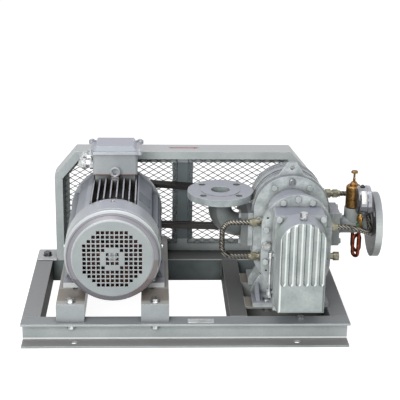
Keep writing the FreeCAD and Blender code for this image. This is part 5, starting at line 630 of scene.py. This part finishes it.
# %% [markdown]
# The guard's back is expanded metal: a sheet is slit and pulled until the slits open into diamonds, here
# 27 mm long and 16 mm high. The CAD panel has openings of twice that pitch, so a finer panel takes its
# place. Diamonds are laid side by side as faces and cut to the panel's outline by planes.

# %% Diamonds inside an outline
DIAMOND_LENGTH, DIAMOND_HEIGHT = 27.0, 16.0


def diamond_sheet(outline, y):
    """Flat diamonds that fill an outline of (x, z) corners in metres."""
    mesh = bmesh.new()
    half_x, half_z = DIAMOND_LENGTH / 2 * MM, DIAMOND_HEIGHT / 2 * MM
    xs = [x for x, _ in outline]
    zs = [z for _, z in outline]
    corners = {}

    def corner(column, row):
        if (column, row) not in corners:
            corners[column, row] = mesh.verts.new((min(xs) + column * half_x, y, min(zs) + row * half_z))
        return corners[column, row]

    columns = int((max(xs) - min(xs)) / half_x) + 3
    rows = int((max(zs) - min(zs)) / half_z) + 3
    for row in range(rows):
        for column in range(-1, columns):
            if (row + column) % 2:
                continue
            mesh.faces.new((corner(column - 1, row), corner(column, row - 1), corner(column + 1, row),
                            corner(column, row + 1)))
    middle = Vector((sum(xs) / len(xs), y, sum(zs) / len(zs)))
    for index, (x, z) in enumerate(outline):
        after = outline[(index + 1) % len(outline)]
        start = Vector((x, y, z))
        run = Vector((after[0] - x, 0, after[1] - z))
        outward = Vector((run.z, 0, -run.x)).normalized()
        if outward.dot(middle - start) > 0:
            outward = -outward
        everything = mesh.verts[:] + mesh.edges[:] + mesh.faces[:]
        bmesh.ops.bisect_plane(mesh, geom=everything, plane_co=start, plane_no=outward, clear_outer=True)
    return mesh


print("diamonds of", DIAMOND_LENGTH, "by", DIAMOND_HEIGHT, "mm")

# %% [markdown]
# Each panel laps the sheet round its window by 12 mm. The Wireframe modifier turns the edges of the
# diamonds into strands. They are drawn at 3.4 mm, a little wider than real ones, so that they show.

# %% Expanded mesh
LAP, STRAND_MM, MESH_Y = 12, 3.4, 240.2
WINDOWS = (
    [(-310 - LAP, 98 - LAP), (-27 + LAP, 98 - LAP), (-27 + LAP, 323 + LAP), (-281 - LAP / 2, 323 + LAP),
     (-310 - LAP, 291)],
    [(29 - LAP, 98 - LAP), (315 + LAP, 98 - LAP), (315 + LAP, 289), (284 + LAP / 2, 323 + LAP),
     (29 - LAP, 323 + LAP)])
panels = bmesh.new()
for window in WINDOWS:
    sheet = diamond_sheet([(x * MM, z * MM) for x, z in window], MESH_Y * MM)
    data = bpy.data.meshes.new("panel")
    sheet.to_mesh(data)
    panels.from_mesh(data)
mesh_data = bpy.data.meshes.new("expanded_mesh")
panels.to_mesh(mesh_data)
expanded = bpy.data.objects.new("expanded_mesh", mesh_data)
bpy.context.collection.objects.link(expanded)
strands = expanded.modifiers.new("strands", "WIREFRAME")
strands.thickness = STRAND_MM * MM
strands.use_even_offset = False
strands.use_boundary = True
strands.offset = 0
mesh_data.materials.append(flake_enamel(
    "flake_enamel_on_expanded_mesh", "#4B5355", "#3B4244", "#6B7073", grain_mm=2.0, grain_depth=0.1,
    roughness=0.40, shade_and_soil=0.3))
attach(expanded, "machine")
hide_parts("guard_mesh")
print("mesh strands", len(mesh_data.edges))

# %% [markdown]
# The channels and the guard are welded, and a weld is never smooth: the pool freezes in a row of small
# ripples. Each bead is a half-sunk tube of rings whose radius swells and shrinks along its run. It is
# sprayed with the same enamel as the metal it joins.

# %% A rippled bead
RIPPLE_MM = 1.6


def add_piece(name, mesh, finish, body="machine"):
    """Makes a piece of a mesh, gives it its finish, and lets it ride on a body."""
    data = bpy.data.meshes.new(name)
    mesh.to_mesh(data)
    mesh.free()
    for face in data.polygons:
        face.use_smooth = True
    data.materials.append(finish)
    piece = bpy.data.objects.new(name, data)
    bpy.context.collection.objects.link(piece)
    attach(piece, body)
    return piece


def bead(mesh, start, end, radius, ripple=RIPPLE_MM):
    """A rippled weld from start to end; all sizes are in millimetres."""
    start, end = Vector(start) * MM, Vector(end) * MM
    run = (end - start).normalized()
    side = run.orthogonal().normalized()
    other = run.cross(side)
    count = max(int((end - start).length / (ripple * MM / 3)), 6)
    before = None
    for step in range(count + 1):
        share = step / count
        swell = 1 + 0.22 * math.sin(step * 2 * math.pi / 3) + 0.10 * math.sin(step * 0.7)
        taper = min(1, 6 * share + 0.15, 6 * (1 - share) + 0.15)
        reach = radius * MM * swell * taper
        wander = side * math.sin(step * 0.31) * 0.15 * radius * MM
        centre = start.lerp(end, share) + wander
        ring = []
        for corner in range(8):
            angle = corner * math.pi / 4
            ring.append(mesh.verts.new(centre + (side * math.cos(angle) + other * math.sin(angle)) * reach))
        if before:
            for corner in range(8):
                after = (corner + 1) % 8
                mesh.faces.new((before[corner], before[after], ring[after], ring[corner]))
        else:
            mesh.faces.new(ring[::-1])
        before = ring
    mesh.faces.new(before)


print("a bead ripples every", RIPPLE_MM, "mm")

# %% [markdown]
# The skid is welded where its members meet the rails, along the top and down the webs, and the two
# channels under the blower are tacked at their ends. The numbers are the places of the joints in the CAD.

# %% Weld beads of the skid and the guard
SKID_TOP = 62.6
skid_welds = bmesh.new()
for left, right_end in ((-398, -358), (111, 150), (358, 398)):
    for y in (-197.5, 174.5):
        bead(skid_welds, (left, y, SKID_TOP), (right_end, y, SKID_TOP), 1.1)
for x in (-356, 109.5, 151.5, 356):
    for y in (-196.8, 173.8):
        bead(skid_welds, (x, y, 8), (x, y, 56), 2.2)
for y, tack in ((-143.8, 6), (-80, -6), (9.5, 6), (73.3, -6)):
    bead(skid_welds, (152, y, 62.4), (152, y + tack, 62.4), 1.6)
for x in (151.5, 356):
    for low, high in ((-142, -82), (11, 72)):
        bead(skid_welds, (x, low, SKID_TOP), (x, high, SKID_TOP), 1.1)
add_piece("skid_weld_beads", skid_welds, enamel_on_end_members)

guard_welds = bmesh.new()
for outer_x, outer_z, inner_x, inner_z in (
        (-288, 373, -278, 352.5), (291, 373, 281, 352.5),
        (-344.5, 305, -324.5, 296.8), (349.5, 303, 329.5, 294.8)):
    bead(guard_welds, (outer_x, 174.7, outer_z), (inner_x, 174.7, inner_z), 1.0)
    bead(guard_welds, (outer_x, 176, outer_z - 0.4), (outer_x, 242, outer_z - 0.4), 0.9)
for x in (-27, 29):
    bead(guard_welds, (x, 240.6, 99), (x, 240.6, 118), 1.4)
    bead(guard_welds, (x, 240.6, 300), (x, 240.6, 322), 1.4)
add_piece("guard_weld_beads", guard_welds, enamel_on_sheet)
print("welds laid")

# %% [markdown]
# Two small things finish the gauge: a white plate wraps round its case and stays blank, and a rubber plug
# closes the vent on its top. The plate is bent to its seat, and the plug is a profile spun round an
# upright axis, as it would be on a lathe.

# %% Bent and turned forms
def closed_rings(mesh, rings):
    """Joins rings of points into one closed skin."""
    size = len(rings[0])
    for one, other in zip(rings, rings[1:]):
        for step in range(size):
            after = (step + 1) % size
            mesh.faces.new((one[step], one[after], other[after], other[step]))
    mesh.faces.new(rings[0][::-1])
    mesh.faces.new(rings[-1])


def curved_plate(centre, radius, first, last, low, high, thickness, steps=24):
    """A plate bent round an axis along X; angles are in degrees up from the front."""
    mesh = bmesh.new()
    outer = radius + thickness
    rows = []
    for step in range(steps + 1):
        angle = math.radians(first + (last - first) * step / steps)
        row = []
        for x, reach in ((low, radius), (high, radius), (high, outer), (low, outer)):
            y = centre[1] - reach * math.cos(angle)
            z = centre[2] + reach * math.sin(angle)
            row.append(mesh.verts.new((x * MM, y * MM, z * MM)))
        rows.append(row)
    closed_rings(mesh, rows)
    bmesh.ops.recalc_face_normals(mesh, faces=mesh.faces[:])
    return mesh


def turned_form(profile, place, segments=32):
    """Spins a profile of (radius, height) pairs, in millimetres, about an upright axis."""
    mesh = bmesh.new()
    rings = []
    for radius, height in profile:
        ring = []
        for step in range(segments):
            angle = 2 * math.pi * step / segments
            ring.append(mesh.verts.new(((place[0] + radius * math.cos(angle)) * MM,
                                        (place[1] + radius * math.sin(angle)) * MM,
                                        (place[2] + height) * MM)))
        rings.append(ring)
    closed_rings(mesh, rings)
    bmesh.ops.recalc_face_normals(mesh, faces=mesh.faces[:])
    return mesh


GAUGE_CENTRE, CASE_RADIUS = (0, -93, 329), 34.9
PLUG_FOOT = (437, -93, 363.6)
PLUG_PROFILE = [(4.6, -2), (4.6, 0.6), (6.2, 0.8), (6.4, 1.6), (6.0, 2.4), (3.8, 2.8), (3.4, 4.6),
                (2.8, 5.2), (1.2, 5.4)]
add_piece("gauge_side_plate", curved_plate(GAUGE_CENTRE, CASE_RADIUS, 2, 58, 431, 444, 0.5),
          dial_paint)
add_piece("gauge_vent_plug", turned_form(PLUG_PROFILE, PLUG_FOOT), nitrile)
print("gauge finished")

# %% [markdown]
# A plain red arrow on top of the guard shows which way the belts run. It stands about a quarter of a
# millimetre proud, as an outline that is closed above and below.

# %% Direction arrow
ARROW_FOOT, ARROW_TOP = 373.02, 373.25
ARROW = [(44, 212), (30, 219), (30, 215), (-34, 215), (-39, 212), (-34, 209), (30, 209), (30, 205)]
arrow_red = moulded("red_arrow_enamel", "#B3232B", "#9C2A30", 0.40, 1.2, 0.01)
arrow = bmesh.new()
closed_rings(arrow, [[arrow.verts.new((x * MM, y * MM, z * MM)) for x, y in ARROW]
                     for z in (ARROW_FOOT, ARROW_TOP)])
add_piece("belt_direction_arrow", arrow, arrow_red)
print("arrow placed")

# %% [markdown]
# The last small things are what a fitter adds on site. A nut is a six-sided form with its corners turned
# off, and a washer is a short turned disc, because its bolt fills the hole. A plate is a box whose edges
# are eased.

# %% Nuts, washers and plates
def hexagon(mesh, place, across, height):
    """A nut or a bolt's head that stands on its place; sizes are in millimetres."""
    corner = across / math.sqrt(3)
    rings = []
    for radius, level in ((corner - 0.9, 0), (corner, 0.7), (corner, height - 0.9), (corner - 1.3, height)):
        rings.append([mesh.verts.new(((place[0] + radius * math.cos(step * math.pi / 3)) * MM,
                                      (place[1] + radius * math.sin(step * math.pi / 3)) * MM,
                                      (place[2] + level) * MM)) for step in range(6)])
    closed_rings(mesh, rings)


def joined(meshes):
    """One mesh from several."""
    whole = bmesh.new()
    for part in meshes:
        data = bpy.data.meshes.new("part")
        part.to_mesh(data)
        whole.from_mesh(data)
        bpy.data.meshes.remove(data)
    return whole


def flat_sided(piece):
    """Keeps a piece's flats crisp."""
    for face in piece.data.polygons:
        face.use_smooth = False


def washer(place, radius, thickness):
    """A flat disc with eased edges, in millimetres."""
    return turned_form([(radius - 0.3, 0), (radius, 0.3), (radius, thickness - 0.3),
                        (radius - 0.3, thickness)], place)


def plate_form(low, high, rounding):
    """A flat plate from its two corners, with its edges eased."""
    mesh = bmesh.new()
    bmesh.ops.create_cube(mesh, size=1)
    for vert in mesh.verts:
        vert.co = Vector([(low[axis] + high[axis]) / 2 * MM + vert.co[axis] * (high[axis] - low[axis]) * MM
                          for axis in range(3)])
    bmesh.ops.bevel(mesh, geom=mesh.edges[:], offset=rounding * MM, segments=2, affect="EDGES")
    return mesh


print("fasteners' forms ready")

# %% [markdown]
# The guard stands on two plates that are bolted down outside its posts, and lock nuts hang under the front
# rail where the motor's rails are held.

# %% Bolts, nuts and the guard's feet
RAIL_BOLTS_X, GUARD_BOLTS_X = (-280.5, -75.5), (-372, 375)
fasteners = bmesh.new()
for x in RAIL_BOLTS_X:
    hexagon(fasteners, (x, -212, 38.5), 18, 9.5)
hexagon(fasteners, (281, -210, 64.6), 13, 6)
washers = [washer((281, -210, 63), 9.5, 1.7)]
washers += [turned_form([(4.6, 35.5), (5.4, 36.3), (5.4, 38.6)], (x, -212, 0)) for x in RAIL_BOLTS_X]
flat_sided(add_piece("site_bolts_and_nuts", joined([fasteners] + washers), zinc_plate))

foot_bolts = bmesh.new()
for x in GUARD_BOLTS_X:
    hexagon(foot_bolts, (x, 196, 68.6), 18, 9)
washers = [washer((x, 196, 67), 12, 1.7) for x in GUARD_BOLTS_X]
flat_sided(add_piece("guard_foot_bolts", joined([foot_bolts] + washers), blackened_bolt))

guard_feet = joined([plate_form((-398.5, 164, 63), (-344.8, 240, 67), 0.8),
                     plate_form((349.8, 164, 63), (398.5, 240, 67), 0.8)])
flat_sided(add_piece("guard_foot_plates", guard_feet, enamel_on_sheet))
print("bolts, nuts and feet placed")

# %% [markdown]
# A strip of dark sheet behind the fan stands in for shade at the bottom of the cowl: painted shade, made
# as a part. It is an arc about the fan's axis, as thick as the sheet, and as dark as the shield behind it.

# %% Dark sheet under the fan
# A dark sheet put where there is only shade: painted shade under the fan.
SHADE_SHEET_STEPS, SHADE_SHEET_START, SHADE_SHEET_SWEEP = 48, 195, 150
shade_sheet = bmesh.new()
arcs = []
for y in (-131.2, -129.4):
    for radius in (99.6, 115.4):
        arc = []
        for step in range(SHADE_SHEET_STEPS + 1):
            angle = math.radians(SHADE_SHEET_START + SHADE_SHEET_SWEEP * step / SHADE_SHEET_STEPS)
            arc.append(shade_sheet.verts.new(((axis_x + radius * math.cos(angle)) * MM, y * MM,
                                         (axis_z + radius * math.sin(angle)) * MM)))
        arcs.append(arc)
for one, other in ((0, 1), (1, 3), (3, 2), (2, 0)):
    for step in range(SHADE_SHEET_STEPS):
        shade_sheet.faces.new((arcs[one][step], arcs[one][step + 1], arcs[other][step + 1], arcs[other][step]))
for end in (0, -1):
    shade_sheet.faces.new((arcs[0][end], arcs[1][end], arcs[3][end], arcs[2][end]))
bmesh.ops.recalc_face_normals(shade_sheet, faces=shade_sheet.faces[:])
flat_sided(add_piece("shade_sheet_under_fan", shade_sheet, shield_in_painted_shade))
print("baffle placed")

# %% [markdown]
# Large soft lamps above, in front and at the right give the broad highlights of the photograph. The world
# shows white to the camera and to reflections, but lights the object at a plain level.

# %% Lamps and world
def area_lamp(name, place, target, size, watts):
    """A soft lamp that points at its target; places and sizes are in metres."""
    lamp = bpy.data.lights.new(name, "AREA")
    lamp.shape = "RECTANGLE"
    lamp.size, lamp.size_y = size
    lamp.energy = watts
    holder = bpy.data.objects.new(name, lamp)
    holder.location = place
    holder.rotation_euler = (Vector(target) - Vector(place)).to_track_quat("-Z", "Y").to_euler()
    bpy.context.collection.objects.link(holder)


area_lamp("overhead_softbox", (-0.3, -0.5, 2.2), (0, 0, 0.2), (1.8, 1.2), 24)
area_lamp("front_softbox", (-0.8, -2.6, 1.3), (0, 0, 0.2), (1.4, 1.0), 62)
area_lamp("right_softbox", (2.2, -0.9, 1.0), (0.2, 0, 0.2), (1.0, 1.0), 8)

WORLD_LIGHT, WORLD_SEEN = 0.32, 1.0
WHITE = (1, 1, 1, 1)
world = bpy.data.worlds.new("studio")
bpy.context.scene.world = world
world.use_nodes = True
sky_tree = world.node_tree
sky_tree.nodes.clear()
rays = node(sky_tree, "ShaderNodeLightPath")
seen = node(sky_tree, "ShaderNodeMath", None, {0: (rays, "Is Camera Ray"), 1: (rays, "Is Glossy Ray")},
            operation="MAXIMUM")
seen = node(sky_tree, "ShaderNodeMath", None, {0: (seen, "Value"), 1: (rays, "Is Transmission Ray")},
            operation="MAXIMUM")
lighting = node(sky_tree, "ShaderNodeBackground", {"Color": WHITE, "Strength": WORLD_LIGHT})
white = node(sky_tree, "ShaderNodeBackground", {"Color": WHITE, "Strength": WORLD_SEEN})
either = node(sky_tree, "ShaderNodeMixShader", None,
              {0: (seen, "Value"), 1: (lighting, "Background"), 2: (white, "Background")})
node(sky_tree, "ShaderNodeOutputWorld", None, {"Surface": (either, "Shader")})
print("lamps and world lit")

# %% [markdown]
# A studio floor of white paper runs under the skid. It glows just enough to look white to the camera, and
# it still takes the object's shadow, because the glow is added to a plain grey paper.

# %% Floor
FLOOR_HALF_M, PAPER_GLOW = 6, 0.93
floor_mesh = bmesh.new()
bmesh.ops.create_grid(floor_mesh, x_segments=1, y_segments=1, size=FLOOR_HALF_M)
floor_data = bpy.data.meshes.new("floor")
floor_mesh.to_mesh(floor_data)
floor = bpy.data.objects.new("floor", floor_data)
bpy.context.collection.objects.link(floor)
paper, paper_tree, paper_shader = new_finish("white_paper")
paper_tree.nodes.remove(paper_shader)
rays = node(paper_tree, "ShaderNodeLightPath")
seen = node(paper_tree, "ShaderNodeMath", None, {0: (rays, "Is Camera Ray"), 1: (rays, "Is Glossy Ray")},
            operation="MAXIMUM")
shade = node(paper_tree, "ShaderNodeBsdfDiffuse", {"Color": linear("#A4A4A4")})
glow = node(paper_tree, "ShaderNodeEmission", {"Color": WHITE})
strength = node(paper_tree, "ShaderNodeMath", {1: PAPER_GLOW}, {0: (seen, "Value")}, operation="MULTIPLY")
paper_tree.links.new(strength.outputs["Value"], glow.inputs["Strength"])
both = node(paper_tree, "ShaderNodeAddShader", None, {0: (shade, "BSDF"), 1: (glow, "Emission")})
paper_tree.links.new(both.outputs["Shader"], paper_tree.nodes["Material Output"].inputs["Surface"])
floor_data.materials.append(paper)
print("floor laid")

# %% [markdown]
# The Standard view shows each colour about as it was written.

# %% Finish
bpy.context.scene.view_settings.view_transform = "Standard"
